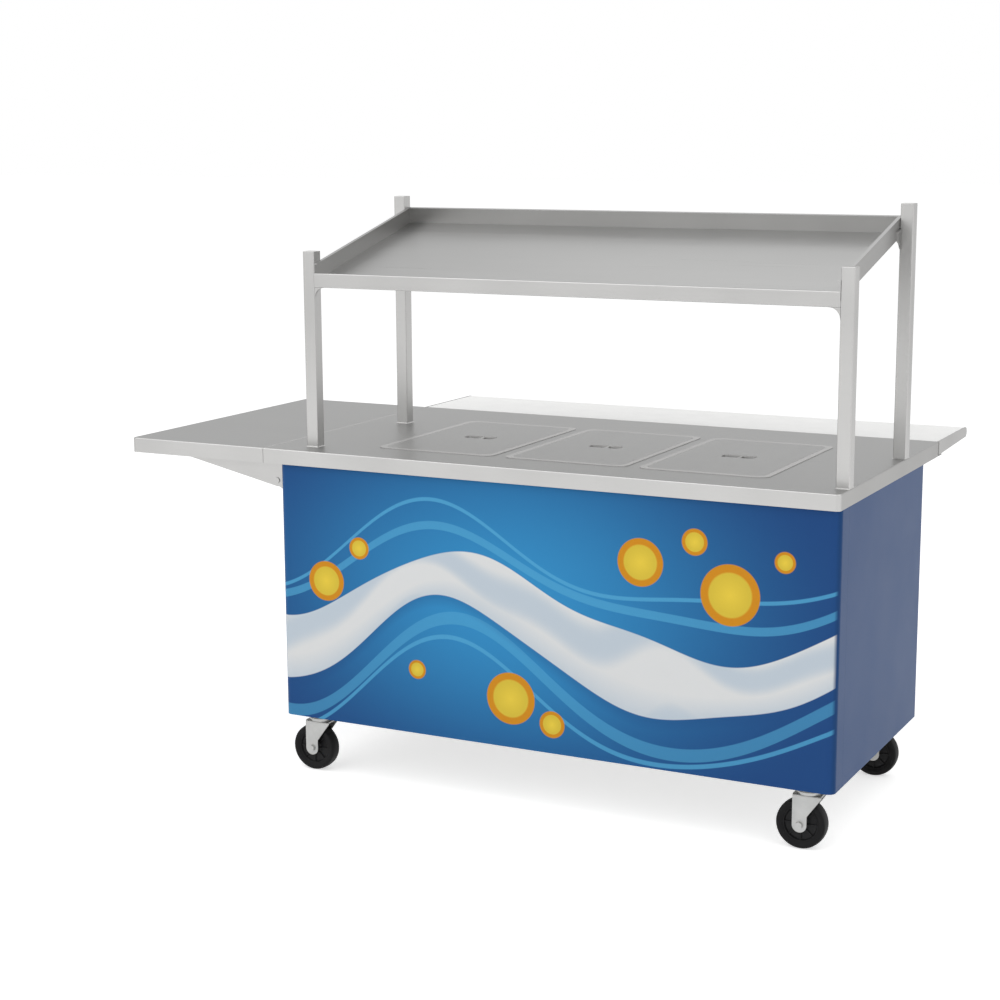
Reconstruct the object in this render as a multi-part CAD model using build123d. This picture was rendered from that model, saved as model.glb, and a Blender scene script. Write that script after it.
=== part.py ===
"""Hot well cart: a mobile serving counter with three electric wells, an overhead
display tray on four posts, a drop-leaf end shelf and a drop-leaf rear work shelf.

Millimetres, +Z up. Pieces are drawn about the middle of the body on the floor
(X along the counter, +Y to the operator's side) and moved on export so that the
origin is under the middle of the whole cart.
"""
import os
from math import asin, atan2, cos, hypot, pi, radians, sin, tan

from build123d import *

# Body
body_length = 1584.0
body_depth = 750.0
body_bottom = 167.0
body_corner_radius = 20.0
panel_sheet = 1.5
front_panel_return = 70.0
rear_return = 45.0
panel_seam = 0.4

# Counter
counter_height = 914.0
counter_depth = 900.0
counter_front_overhang = 8.0
counter_left_overhang = 46.0
apron_height = 41.0
counter_sheet = 2.0
hem_width = 12.0
counter_corner_radius = 12.0
counter_bend = 3.0

# Frames inside the body
channel_width = 40.0
channel_height = 30.0
channel_wall = 2.5
angle_leg = 30.0
angle_wall = 3.0
pad_length = 150.0
pad_depth = 125.0
pad_thickness = 4.0
cabinet_shelf_height = 430.0
shelf_sheet = 1.5
shelf_upstand = 25.0

# Wells
well_count = 3
well_pitch = 385.0
well_width = 305.0
well_length = 505.0
well_depth = 160.0
well_centre_y = 30.0
well_corner_radius = 28.0
well_draft = 2.0
well_sheet = 1.5
well_flange = 17.0
cover_seat = 7.0
cover_drop = 4.0
cover_sheet = 2.0
cover_play = 0.5
grip_width = 96.0
grip_length = 44.0
grip_depth = 24.0
grip_bar_radius = 4.0
housing_margin = 26.0
housing_depth = 205.0
housing_sheet = 1.5
element_radius = 4.0
element_run = 320.0
element_pitch = 62.0
seat_gap = 0.3

# Drain
drain_radius = 12.0
strainer_hole_radius = 1.5
strainer_holes = 6
header_radius = 15.0
header_drop = 42.0
valve_offset = 95.0
valve_y = 300.0
valve_radius = 21.0
valve_length = 52.0
ball_radius = 17.0
lever_length = 105.0
lever_width = 16.0
lever_thickness = 3.0
stem_radius = 5.0

# Operator's console
console_height = 79.0
console_depth = 56.0
console_sheet = 1.5
knob_pitch = 300.0
knob_radius = 21.0
knob_height = 20.0
knob_shaft_radius = 3.0
lamp_offset = 58.0
lamp_radius = 7.0
inlet_inset = 127.0
inlet_width = 52.0
inlet_height = 46.0
inlet_depth = 30.0
running_gap = 0.05
moving_gap = 0.3

# Posts and display tray
post_size = 35.0
post_wall = 1.5
post_corner_radius = 3.0
left_post_inset = 49.0
right_post_inset = 0.5
front_post_setback = 73.0
post_spacing_y = 490.0
front_post_height = 531.0
rear_post_height = 663.0
cap_thickness = 4.0
tray_tilt = 14.5
tray_lip_height = 38.0
tray_lip_bottom = 435.0
tray_deck_rise = 14.0
tray_wall_height = 48.0
tray_sheet = 1.5
tray_hem = 10.0
tray_bend = 2.5
gusset_size = 30.0
gusset_thickness = 5.0

# Drop leaves
end_shelf_length = 440.0
work_shelf_depth = 310.0
leaf_seam = 1.0
hinge_plate = 2.0
hinge_leaf_width = 30.0
knuckle_radius = 5.0
hinge_pin_radius = 2.5
hinge_end_margin = 45.0
hinge_arm_margin = 28.0
knuckle_count = 9
end_plate_thickness = 5.0
end_plate_height = 38.0
end_plate_tip = 28.0
rail_thickness = 3.0
rail_height = 25.0
board_thickness = 13.0
board_play = 0.5
board_edge_radius = 2.5

# Support arms of the drop leaves
arm_width = 24.0
arm_wall = 3.0
arm_root_radius = 18.0
arm_pin_radius = 5.0
arm_pivot_out = 25.0
arm_pivot_down = 52.0
arm_tip_height = 36.0
arm_rise = 105.0
arm_top_gap = 3.0
arm_heel_out = 31.0
end_shelf_arm_inset = 50.0
end_shelf_arm_reach = 363.0
work_shelf_arm_inset = 190.0
work_shelf_arm_reach = 400.0
bracket_plate = 4.0
bracket_width = 42.0
bracket_ear = 4.0
bracket_drop = 30.0
bracket_gap = 2.5
bracket_shoulder = 40.0

# Casters
caster_inset_x = 79.0
caster_inset_y = 61.0
caster_trail = 18.0
wheel_radius = 65.0
wheel_width = 38.0
wheel_bore_radius = 6.0
hub_radius = 15.0
hub_width = 43.0
fork_gap = 3.0
fork_sheet = 3.5
fork_root_radius = 19.0
fork_knee = 24.0
fork_crown_width = 74.0
crown_height = 142.0
caster_plate_length = 100.0
caster_plate_width = 85.0
caster_plate_thickness = 4.0
raceway_radius = 33.0
raceway_height = 4.0
kingpin_radius = 6.0
plate_hole_radius = 4.5
plate_hole_pitch_x = 76.0
plate_hole_pitch_y = 61.0

# Places worked out from the sizes above
half_length = body_length / 2
half_depth = body_depth / 2
apron_bottom = counter_height - apron_height
counter_front = -half_depth - counter_front_overhang
counter_back = counter_front + counter_depth
counter_left = -half_length - counter_left_overhang
counter_right = half_length
deck_underside = counter_height - counter_sheet
shelf_left = counter_left - leaf_seam - end_shelf_length
shelf_right = counter_left - leaf_seam
work_front = counter_back + leaf_seam
work_back = work_front + work_shelf_depth
frame_shift = Pos(-(shelf_left + counter_right) / 2, -(counter_front + work_back) / 2, 0)
panel_inner_x = half_length - panel_sheet
panel_inner_y = half_depth - panel_sheet
floor_level = body_bottom + channel_height
hinge_drop = hinge_plate + knuckle_radius + moving_gap
hinge_z = apron_bottom - hinge_drop
liner_top = counter_height + well_sheet
liner_bottom = liner_top - well_depth - well_sheet
well_xs = [(i - (well_count - 1) / 2) * well_pitch for i in range(well_count)]
valve_x = well_xs[-1] + valve_offset
housing_half_x = (well_count - 1) / 2 * well_pitch + well_width / 2 + housing_margin
housing_bottom = deck_underside - housing_depth
header_z = housing_bottom - header_drop
console_top = apron_bottom - angle_leg - seat_gap
console_bottom = console_top - console_height
console_front = panel_inner_y - console_depth
inlet_x = -half_length + inlet_inset
front_post_y = counter_front + front_post_setback
rear_post_y = front_post_y + post_spacing_y
left_post_x = -half_length + left_post_inset
right_post_x = counter_right - right_post_inset - post_size
tray_left = left_post_x + post_size
tray_right = right_post_x
end_arm_front_y = counter_front + end_shelf_arm_inset
end_arm_rear_y = half_depth + counter_front_overhang - end_shelf_arm_inset
kingpin_x = half_length - caster_inset_x
kingpin_y = half_depth - caster_inset_y
corners = {
    "front_left": (-1, -1),
    "front_right": (1, -1),
    "rear_left": (-1, 1),
    "rear_right": (1, 1),
}


def save(name, piece):
    """Write one node in the cart's own frame."""
    solids = [frame_shift * solid for solid in piece.solids()]
    shape = solids[0] if len(solids) == 1 else Compound(children=solids)
    export_step(shape, f"parts/{name}.step")


def block(x0, x1, y0, y1, z0, z1):
    """A box between two corners."""
    return Pos((x0 + x1) / 2, (y0 + y1) / 2, (z0 + z1) / 2) * Box(x1 - x0, y1 - y0, z1 - z0)


def rod(start, direction, radius, length):
    """A round bar that starts at a point and runs along a direction."""
    return extrude(Plane(origin=start, z_dir=direction) * Circle(radius), length)


def group(pieces):
    """Several loose solids of one node."""
    return Compound(children=[solid for piece in pieces for solid in piece.solids()])


def outline_yz(points):
    """A closed outline in the YZ plane."""
    return Plane.YZ * make_face(Polyline(*points, close=True))


def folded_pan(x0, x1, y0, y1, hems, radius, rounded):
    """Sheet top with turned-down aprons, each with an inward hem (left, right, front, back)."""
    outer = block(x0, x1, y0, y1, apron_bottom, counter_height)
    inner = block(x0 + counter_sheet, x1 - counter_sheet, y0 + counter_sheet, y1 - counter_sheet,
                  apron_bottom + counter_sheet, deck_underside)
    left, right, front, back = hems
    mouth = block(x0 + left, x1 - right, y0 + front, y1 - back,
                  apron_bottom - 1, apron_bottom + counter_sheet)

    def corner_edges(solid):
        return [edge for edge in solid.edges().filter_by(Axis.Z) if rounded(edge.center())]

    outer = fillet(corner_edges(outer), radius)
    inner = fillet(corner_edges(inner), radius - counter_sheet)
    outer = fillet(outer.faces().sort_by(Axis.Z)[-1].edges(), counter_bend)
    inner = fillet(inner.faces().sort_by(Axis.Z)[-1].edges(), counter_bend - counter_sheet)
    return outer - inner - mouth


def body_shell():
    """Thin wall round the body with rounded upright corners, open above and below."""
    height = apron_bottom - body_bottom
    outer = RectangleRounded(body_length, body_depth, body_corner_radius)
    inner = RectangleRounded(2 * panel_inner_x, 2 * panel_inner_y, body_corner_radius - panel_sheet)
    return Pos(0, 0, body_bottom) * extrude(outer - inner, height)


def body_panels():
    """Front panel that wraps both corners, and two end panels that return round the open back."""
    shell = body_shell()
    reach = body_length + body_depth
    seam_y = -half_depth + front_panel_return
    front = shell & block(-reach, reach, -reach, seam_y, 0, reach)
    ends = shell & block(-reach, reach, seam_y + panel_seam, reach, 0, reach)
    inside = half_length - rear_return
    save("front_panel", front)
    save("left_end_panel", ends & block(-reach, -inside, -reach, reach, 0, reach))
    save("right_end_panel", ends & block(inside, reach, -reach, reach, 0, reach))


def base_frame():
    """Welded channel chassis, open inwards, with a pad for each caster."""
    top = floor_level
    outer = block(-panel_inner_x, panel_inner_x, -panel_inner_y, panel_inner_y, body_bottom, top)
    web = channel_wall
    hollow = block(-panel_inner_x + web, panel_inner_x - web, -panel_inner_y + web,
                   panel_inner_y - web, body_bottom + web, top - web)
    mouth = block(-panel_inner_x + channel_width, panel_inner_x - channel_width,
                  -panel_inner_y + channel_width, panel_inner_y - channel_width, 0, counter_height)
    corner = body_corner_radius - panel_sheet
    outer = fillet(outer.edges().filter_by(Axis.Z), corner)
    hollow = fillet(hollow.edges().filter_by(Axis.Z), corner - web)
    frame = outer - hollow - mouth
    for sx, sy in corners.values():
        x0, x1 = sorted((sx * (panel_inner_x - web), sx * (panel_inner_x - pad_length)))
        y0, y1 = sorted((sy * (panel_inner_y - web), sy * (panel_inner_y - pad_depth)))
        pad = block(x0, x1, y0, y1, body_bottom, body_bottom + pad_thickness)
        frame += fillet(pad.edges().filter_by(Axis.Z), corner - web)
        for hx in (-1, 1):
            for hy in (-1, 1):
                centre = (sx * kingpin_x + hx * plate_hole_pitch_x / 2,
                          sy * kingpin_y + hy * plate_hole_pitch_y / 2, 0)
                frame -= rod(centre, (0, 0, 1), plate_hole_radius, floor_level - web)
    save("base_frame", frame)


def angle_bar(length):
    """Equal-leg angle along +X with its heel on the X axis, legs towards +Y and -Z."""
    leg = outline_yz([(0, 0), (angle_leg, 0), (angle_leg, -angle_wall), (angle_wall, -angle_wall),
                      (angle_wall, -angle_leg), (0, -angle_leg)])
    return extrude(leg, length)


def upper_frame():
    """Corner uprights, top rails and shelf runners, welded from angle."""
    heel_x = panel_inner_x
    heel_y = panel_inner_y
    inset = body_corner_radius
    rails = angle_bar(2 * (heel_x - inset))
    frame = Pos(-heel_x + inset, -heel_y, apron_bottom) * rails
    frame += Pos(heel_x - inset, heel_y, apron_bottom) * Rot(0, 0, 180) * rails
    sides = angle_bar(2 * (heel_y - inset))
    frame += Pos(-heel_x, heel_y - inset, apron_bottom) * Rot(0, 0, -90) * sides
    frame += Pos(heel_x, -heel_y + inset, apron_bottom) * Rot(0, 0, 90) * sides
    leg = inset + angle_leg
    rounding = body_corner_radius - panel_sheet
    ring = RectangleRounded(2 * heel_x, 2 * heel_y, rounding)
    ring -= RectangleRounded(2 * (heel_x - angle_wall), 2 * (heel_y - angle_wall), rounding - angle_wall)
    for sx, sy in corners.values():
        corner = Pos(sx * (heel_x - leg / 2), sy * (heel_y - leg / 2)) * Rectangle(leg, leg)
        frame += Pos(0, 0, floor_level) * extrude(ring & corner, apron_bottom - floor_level)
    for side in (-1, 1):
        runner = Pos(side * heel_x, -side * (heel_y - inset), cabinet_shelf_height) * Rot(0, 0, side * 90)
        frame += runner * sides
    save("upper_frame", frame)


def cabinet_floor_and_shelf():
    """Sheet floor with upstands, and a notched storage shelf with a turned-down back edge."""
    reach_x = panel_inner_x - body_corner_radius - angle_leg - seat_gap
    front = -panel_inner_y + body_corner_radius + angle_leg + seat_gap
    back = panel_inner_y - angle_wall - seat_gap
    pan = block(-reach_x, reach_x, front, back, floor_level, floor_level + shelf_upstand)
    pan -= block(-reach_x + shelf_sheet, reach_x - shelf_sheet, front + shelf_sheet, back + 1,
                 floor_level + shelf_sheet, floor_level + 2 * shelf_upstand)
    save("cabinet_floor", pan)

    edge_x = panel_inner_x - angle_wall - seat_gap
    edge_y = panel_inner_y - body_corner_radius - angle_leg - seat_gap
    top = cabinet_shelf_height + shelf_sheet
    sheet = block(-edge_x, edge_x, -edge_y, edge_y, cabinet_shelf_height, top)
    sheet += block(-reach_x, reach_x, edge_y - 1, back, cabinet_shelf_height, top)
    sheet += block(-reach_x, reach_x, back - shelf_sheet, back, top - shelf_upstand, top)
    sheet += block(-reach_x, reach_x, -edge_y, -edge_y + shelf_sheet, top, top + shelf_upstand)
    save("cabinet_shelf", sheet)


def counter_top():
    """Folded stainless counter with a cut-out for each well."""
    hems = (hinge_leaf_width + counter_sheet, hem_width, hem_width, hinge_leaf_width + counter_sheet)
    counter = folded_pan(counter_left, counter_right, counter_front, counter_back, hems,
                         counter_corner_radius, lambda centre: centre.X > 0)
    opening_x = well_width + 2 * (cover_seat + well_sheet) + cover_play
    opening_y = well_length + 2 * (cover_seat + well_sheet) + cover_play
    for x in well_xs:
        hole = RectangleRounded(opening_x, opening_y, well_corner_radius - well_sheet + cover_play / 2)
        counter -= Pos(x, well_centre_y, deck_underside - 1) * extrude(hole, 2 * counter_sheet + 1)
    save("counter_top", counter)


def well_liner(x):
    """Drawn well: flange on the counter, seat for its cover, tapered wall and a strained drain spigot."""
    seat_x = well_width + 2 * cover_seat
    seat_y = well_length + 2 * cover_seat
    radius = well_corner_radius - 2 * well_sheet
    flange = extrude(RectangleRounded(seat_x + 2 * well_flange, seat_y + 2 * well_flange, well_corner_radius),
                     -well_sheet)
    collar = extrude(RectangleRounded(seat_x + 2 * well_sheet, seat_y + 2 * well_sheet, radius + well_sheet),
                     -cover_drop - well_sheet)
    rim = flange + collar - extrude(RectangleRounded(seat_x, seat_y, radius), -cover_drop)
    wall = well_width + 2 * well_sheet
    fall = well_depth - cover_drop
    outer = extrude(RectangleRounded(wall, well_length + 2 * well_sheet, radius), -fall - well_sheet,
                    taper=well_draft)
    inner = extrude(RectangleRounded(well_width, well_length, radius - well_sheet), -fall, taper=well_draft)
    liner = rim + Pos(0, 0, -cover_drop) * outer - Pos(0, 0, -cover_drop) * inner
    spigot = rod((0, 0, -well_depth), (0, 0, -1), drain_radius, housing_bottom_below_liner())
    bore = drain_radius - 2 * well_sheet
    liner = liner + spigot
    liner -= rod((0, 0, -well_depth - well_sheet), (0, 0, -1), bore, housing_bottom_below_liner())
    for hole in range(strainer_holes):
        turn = 2 * pi * hole / strainer_holes
        liner -= rod((0.6 * bore * cos(turn), 0.6 * bore * sin(turn), -well_depth + 1), (0, 0, -1),
                     strainer_hole_radius, 2 * well_sheet)
    return Pos(x, well_centre_y, liner_top) * liner


def housing_bottom_below_liner():
    """Length of a drain spigot, from the well's floor to the drain header's branch."""
    return liner_top - well_depth - housing_bottom


def well_cover(x):
    """Flush lid with a turned-down edge and a drawn finger recess bridged by a round bar."""
    size_x = well_width + 2 * cover_seat - 2 * cover_play
    size_y = well_length + 2 * cover_seat - 2 * cover_play
    radius = well_corner_radius - 2 * well_sheet - cover_play
    lid = extrude(RectangleRounded(size_x, size_y, radius), -cover_drop + seat_gap)
    under = extrude(RectangleRounded(size_x - 2 * cover_sheet, size_y - 2 * cover_sheet,
                                     radius - cover_sheet), -cover_drop)
    lid -= Pos(0, 0, -cover_sheet) * under
    cup = extrude(RectangleRounded(grip_width, grip_length, grip_length / 3), -grip_depth, taper=5)
    hollow = extrude(RectangleRounded(grip_width - 2 * cover_sheet, grip_length - 2 * cover_sheet,
                                      grip_length / 3 - cover_sheet), -grip_depth + cover_sheet, taper=5)
    lid = lid + cup - hollow
    bar_depth = grip_bar_radius + cover_sheet / 2
    lid += rod((0, -grip_length / 2 + cover_sheet / 2, -bar_depth), (0, 1, 0), grip_bar_radius,
               grip_length - cover_sheet)
    return Pos(x, well_centre_y, liner_top) * lid


def heating_element(x):
    """Tubular element bent into three runs under one well."""
    bend = element_pitch / 2
    run = element_run / 2
    path = Polyline((-element_pitch, -run, 0), (-element_pitch, run, 0))
    path += ThreePointArc((-element_pitch, run, 0), (-bend, run + bend, 0), (0, run, 0))
    path += Line((0, run, 0), (0, -run, 0))
    path += ThreePointArc((0, -run, 0), (bend, -run - bend, 0), (element_pitch, -run, 0))
    path += Line((element_pitch, -run, 0), (element_pitch, run, 0))
    section = Plane(origin=(-element_pitch, -run, 0), z_dir=(0, 1, 0)) * Circle(element_radius)
    shift = bend
    return Pos(x + shift, well_centre_y, liner_bottom - element_radius - seat_gap) * sweep(section, path=path)


def wells():
    """Liners, lids and elements, and the insulated housing that holds them."""
    for number, x in enumerate(well_xs, 1):
        save(f"well_liner_{number}", well_liner(x))
        save(f"well_cover_{number}", well_cover(x))
    save("heating_elements", group([heating_element(x) for x in well_xs]))
    half_y = well_length / 2 + housing_margin
    box = block(-housing_half_x, housing_half_x, well_centre_y - half_y, well_centre_y + half_y,
                housing_bottom, deck_underside)
    box = fillet(box.edges().filter_by(Axis.Z), well_corner_radius)
    wall = housing_sheet
    hollow = block(-housing_half_x + wall, housing_half_x - wall, well_centre_y - half_y + wall,
                   well_centre_y + half_y - wall, housing_bottom + wall, deck_underside + 1)
    box -= fillet(hollow.edges().filter_by(Axis.Z), well_corner_radius - wall)
    for x in well_xs:
        box -= rod((x, well_centre_y, housing_bottom - 1), (0, 0, 1), drain_radius + moving_gap, wall + 2)
    save("well_housing", box)


def drain():
    """Header under the wells, ball valve at its outlet and the quarter-turn lever."""
    branch = header_drop - seat_gap
    start = well_xs[0]
    bend = 2 * header_radius
    bend_x = valve_x - bend
    pipe = rod((start, well_centre_y, header_z), (1, 0, 0), header_radius, bend_x - start)
    for x in well_xs:
        pipe += rod((x, well_centre_y, header_z), (0, 0, 1), drain_radius + 2 * well_sheet, branch)
    pipe += Pos(start, well_centre_y, header_z) * Sphere(header_radius)
    turn = Plane(origin=(bend_x, well_centre_y, header_z), z_dir=(1, 0, 0)) * Circle(header_radius)
    outlet = well_centre_y + bend
    pipe += revolve(turn, axis=Axis((bend_x, outlet, header_z), (0, 0, 1)), revolution_arc=90)
    pipe += rod((valve_x, outlet, header_z), (0, 1, 0), header_radius, valve_y - outlet)
    save("drain_manifold", pipe)

    half = valve_length / 2
    mid = valve_y + half
    flat = 0.62 * valve_radius
    neck_top = header_z + valve_radius + 6
    profile = make_face(Polyline((0, 0), (header_radius + 3, 0), (header_radius + 3, half - flat),
                                 (valve_radius, half - flat / 2), (valve_radius, half + flat / 2),
                                 (header_radius + 3, half + flat), (header_radius + 3, valve_length),
                                 (0, valve_length), close=True))
    body = Pos(valve_x, valve_y, header_z) * revolve(profile, axis=Axis.Y)
    body += rod((valve_x, mid, header_z), (0, 0, 1), 2 * stem_radius, neck_top - header_z)
    body -= rod((valve_x, valve_y - 1, header_z), (0, 1, 0), drain_radius, valve_length + 2)
    body -= Pos(valve_x, mid, header_z) * Sphere(ball_radius + moving_gap)
    body -= rod((valve_x, mid, header_z), (0, 0, 1), stem_radius + running_gap, valve_length)
    save("drain_valve", body)

    ball = Sphere(ball_radius) - rod((-valve_length, 0, 0), (1, 0, 0), drain_radius - 1, 2 * valve_length)
    lever_z = neck_top - header_z + moving_gap
    stem_start = ball_radius - stem_radius / 2
    lever = ball + rod((0, 0, stem_start), (0, 0, 1), stem_radius, lever_z - stem_start)
    plate = Circle(2 * stem_radius) + Pos(lever_length / 2, 0) * SlotOverall(lever_length, lever_width)
    lever += Pos(0, 0, lever_z) * extrude(plate, lever_thickness)
    grip = Pos(lever_length * 0.68, 0, lever_z + lever_thickness / 2) * Box(
        lever_length * 0.55, lever_width + 4, lever_thickness + 4)
    lever += fillet(grip.edges().filter_by(Axis.Z), lever_width / 3)
    save("drain_lever", Pos(valve_x, mid, header_z) * lever)


def knob_xs():
    """Places of the control knobs along the console."""
    return [(i - (well_count - 1) / 2) * knob_pitch for i in range(well_count)]


def console():
    """Folded fascia under the counter's back edge with knobs, pilot lamps and the power inlet."""
    reach_x = panel_inner_x - body_corner_radius - angle_leg - seat_gap
    face_y = panel_inner_y
    middle = (console_bottom + console_top) / 2
    box = block(-reach_x, reach_x, console_front, face_y, console_bottom, console_top)
    box -= block(-reach_x + console_sheet, reach_x - console_sheet, console_front - 1, face_y - console_sheet,
                 console_bottom + console_sheet, console_top - console_sheet)
    drill = 2 * console_sheet + 1
    for x in knob_xs():
        box -= rod((x, face_y + 1, middle), (0, -1, 0), knob_shaft_radius + running_gap, drill)
        box -= rod((x + lamp_offset, face_y + 1, middle), (0, -1, 0), lamp_radius, drill)
    box -= block(inlet_x - inlet_width / 2 + 6, inlet_x + inlet_width / 2 - 6, console_front, face_y + 1,
                 middle - inlet_height / 2 + 6, middle + inlet_height / 2 - 6)
    save("control_console", box)

    base = knob_radius
    skirt = make_face(Polyline((0, 0), (base, 0), (base, 4), (base - 4, 6), (base - 6, knob_height - 2),
                               (base - 8, knob_height), (0, knob_height), close=True))
    for number, x in enumerate(knob_xs(), 1):
        knob = revolve(skirt, axis=Axis.Y)
        ridge = block(-3, 3, knob_height / 2, knob_height + 2, -base + 7, base - 3)
        knob += ridge & rod((0, 0, 0), (0, 1, 0), base - 2, 2 * knob_height)
        knob += rod((0, 1, 0), (0, -1, 0), knob_shaft_radius, 18)
        save(f"control_knob_{number}", Pos(x, face_y + moving_gap, middle) * knob)

    lens = make_face(Polyline((0, -8), (lamp_radius, -8), (lamp_radius, 0), (lamp_radius + 2, 0),
                              (lamp_radius + 2, 1.5), (lamp_radius - 1, 3), (lamp_radius - 3, 5), (0, 6),
                              close=True))
    save("pilot_lamps", group([Pos(x + lamp_offset, face_y, middle) * revolve(lens, axis=Axis.Y)
                               for x in knob_xs()]))

    flange = block(-inlet_width / 2, inlet_width / 2, 0, 3, -inlet_height / 2, inlet_height / 2)
    flange = fillet(flange.edges().filter_by(Axis.Y), 5)
    cup_x = inlet_width / 2 - 6 - panel_seam
    cup_z = inlet_height / 2 - 6 - panel_seam
    inlet = flange + block(-cup_x, cup_x, -inlet_depth, 1, -cup_z, cup_z)
    inlet -= block(-cup_x + 2, cup_x - 2, -inlet_depth + 3, 4, -cup_z + 2, cup_z - 2)
    for px, pz in ((0, 6), (-9, -5), (9, -5)):
        inlet += block(px - 1, px + 1, -inlet_depth + 1, -4, pz - 3, pz + 3)
    save("power_inlet", Pos(inlet_x, face_y, middle) * inlet)


def posts():
    """Four square tubes with welded feet, and their caps."""
    caps = []
    for name, (sx, sy) in corners.items():
        height = front_post_height if sy < 0 else rear_post_height
        x = left_post_x if sx < 0 else right_post_x
        y = front_post_y if sy < 0 else rear_post_y
        centre = Pos(x + post_size / 2, y + post_size / 2, counter_height)
        bore = post_size - 2 * post_wall
        section = RectangleRounded(post_size, post_size, post_corner_radius)
        hole = RectangleRounded(bore, bore, post_corner_radius - post_wall)
        tube = extrude(section, height - cap_thickness)
        tube -= Pos(0, 0, 2 * post_wall) * extrude(hole, height)
        save(f"post_{name}", centre * tube)
        plug = bore - 2 * seat_gap
        cap = extrude(section, cap_thickness)
        cap += extrude(RectangleRounded(plug, plug, post_wall), -3 * cap_thickness)
        cap = fillet(cap.faces().sort_by(Axis.Z)[-1].edges(), post_wall)
        caps.append(centre * Pos(0, 0, height - cap_thickness) * cap)
    save("post_caps", group(caps))


def display_tray():
    """Tilted folded tray between the posts: turned-up ends and back, and a deep front lip."""
    lip_z = counter_height + tray_lip_bottom
    deck_z = lip_z + tray_deck_rise
    run = post_spacing_y + post_size
    slope = run / cos(radians(tray_tilt))
    width = tray_right - tray_left
    pan = block(0, width, 0, slope, 0, tray_wall_height)
    pan -= block(tray_sheet, width - tray_sheet, -1, slope - tray_sheet, tray_sheet, tray_wall_height + 1)
    for x0, x1 in ((tray_sheet, tray_hem), (width - tray_hem, width - tray_sheet)):
        pan += block(x0, x1, tray_hem, slope - tray_sheet, tray_wall_height - tray_sheet, tray_wall_height)
    pan += block(tray_sheet, width - tray_sheet, slope - tray_hem, slope, tray_wall_height - tray_sheet,
                 tray_wall_height)
    tray = Pos(tray_left, front_post_y, deck_z) * Rot(tray_tilt, 0, 0) * pan
    tray -= block(tray_left - 1, tray_right + 1, front_post_y - post_size, front_post_y,
                  lip_z, deck_z + 2 * tray_wall_height)
    lip = block(tray_left, tray_right, front_post_y, front_post_y + tray_hem, lip_z, lip_z + tray_lip_height)
    lip = fillet(lip.edges().filter_by(Axis.X).sort_by(Axis.Y)[:2], tray_bend)
    channel = block(tray_left - 1, tray_right + 1, front_post_y + tray_sheet, front_post_y + tray_hem + 1,
                    lip_z + tray_sheet, lip_z + tray_lip_height - tray_sheet)
    lip -= fillet(channel.edges().filter_by(Axis.X).sort_by(Axis.Y)[:2], tray_bend - tray_sheet)
    deck_at_hem = deck_z + tray_hem * tan(radians(tray_tilt))
    hem_y = front_post_y + tray_hem
    shelf = outline_yz([(front_post_y, deck_z), (hem_y, deck_at_hem), (hem_y, deck_at_hem + tray_sheet),
                        (front_post_y, deck_z + tray_sheet)])
    tray += lip + Pos(tray_left, 0, 0) * extrude(shelf, width)
    save("display_tray", tray)


def tray_gussets():
    """Hollow-cornered gussets: two under the front lip, two under the tray's ends at the rear posts."""
    near = gusset_size * (1 - sin(radians(45)))
    quarter = make_face(
        Line((0, 0), (gusset_size, 0))
        + ThreePointArc((gusset_size, 0), (near, -near), (0, -gusset_size))
        + Line((0, -gusset_size), (0, 0)))
    lip_z = counter_height + tray_lip_bottom
    front_y = front_post_y + gusset_thickness + tray_sheet
    plate = extrude(Plane.XZ * quarter, gusset_thickness)
    left = Pos(tray_left, front_y, lip_z) * plate
    right = mirror(Pos(-tray_right, front_y, lip_z) * plate, about=Plane.YZ)
    rise = (rear_post_y - front_post_y) * tan(radians(tray_tilt))
    wall_z = lip_z + tray_deck_rise + rise + tray_wall_height / 2
    tall = outline_yz([(0, 0), (-gusset_size, -gusset_size * tan(radians(tray_tilt))),
                       (-gusset_size, -tray_wall_height / 2 - gusset_size * tan(radians(tray_tilt))),
                       (0, -tray_wall_height / 2 - gusset_size)])
    curve = rod((-1, -gusset_size, -tray_wall_height / 2 - gusset_size * (1 + tan(radians(tray_tilt)))),
                (1, 0, 0), gusset_size * 0.9, 2 * gusset_thickness)
    ear = extrude(tall, gusset_thickness) - curve
    rear_left = Pos(tray_left - gusset_thickness, rear_post_y, wall_z) * ear
    rear_right = Pos(tray_right, rear_post_y, wall_z) * ear
    save("tray_gussets", group([left, right, rear_left, rear_right]))


def hinge_parts(length):
    """Fixed leaf, moving knuckles with their leaf, and pin of a piano hinge.

    The axis runs along +Y from the origin; the moving leaf lies towards -X.
    """
    pitch = length / knuckle_count
    lift = hinge_drop - hinge_plate
    leaf = block(0, hinge_leaf_width, 0, length, lift, hinge_drop)
    moving = block(-hinge_leaf_width, 0, 0, length, lift, hinge_drop)
    for index in range(knuckle_count):
        y0 = index * pitch + moving_gap / 2
        y1 = (index + 1) * pitch - moving_gap / 2
        barrel = rod((0, y0, 0), (0, 1, 0), knuckle_radius, y1 - y0)
        clear = block(-knuckle_radius - moving_gap, knuckle_radius + moving_gap, index * pitch,
                      (index + 1) * pitch, lift - 1, hinge_drop + 1)
        if index % 2 == 0:
            leaf += barrel + block(0, knuckle_radius, y0, y1, 0, hinge_drop)
            moving -= clear
        else:
            moving += barrel + block(-knuckle_radius, 0, y0, y1, 0, hinge_drop)
            leaf -= clear
    bore = rod((0, -1, 0), (0, 1, 0), hinge_pin_radius + running_gap, length + 2)
    return leaf - bore, moving - bore, rod((0, 0, 0), (0, 1, 0), hinge_pin_radius, length)


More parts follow.
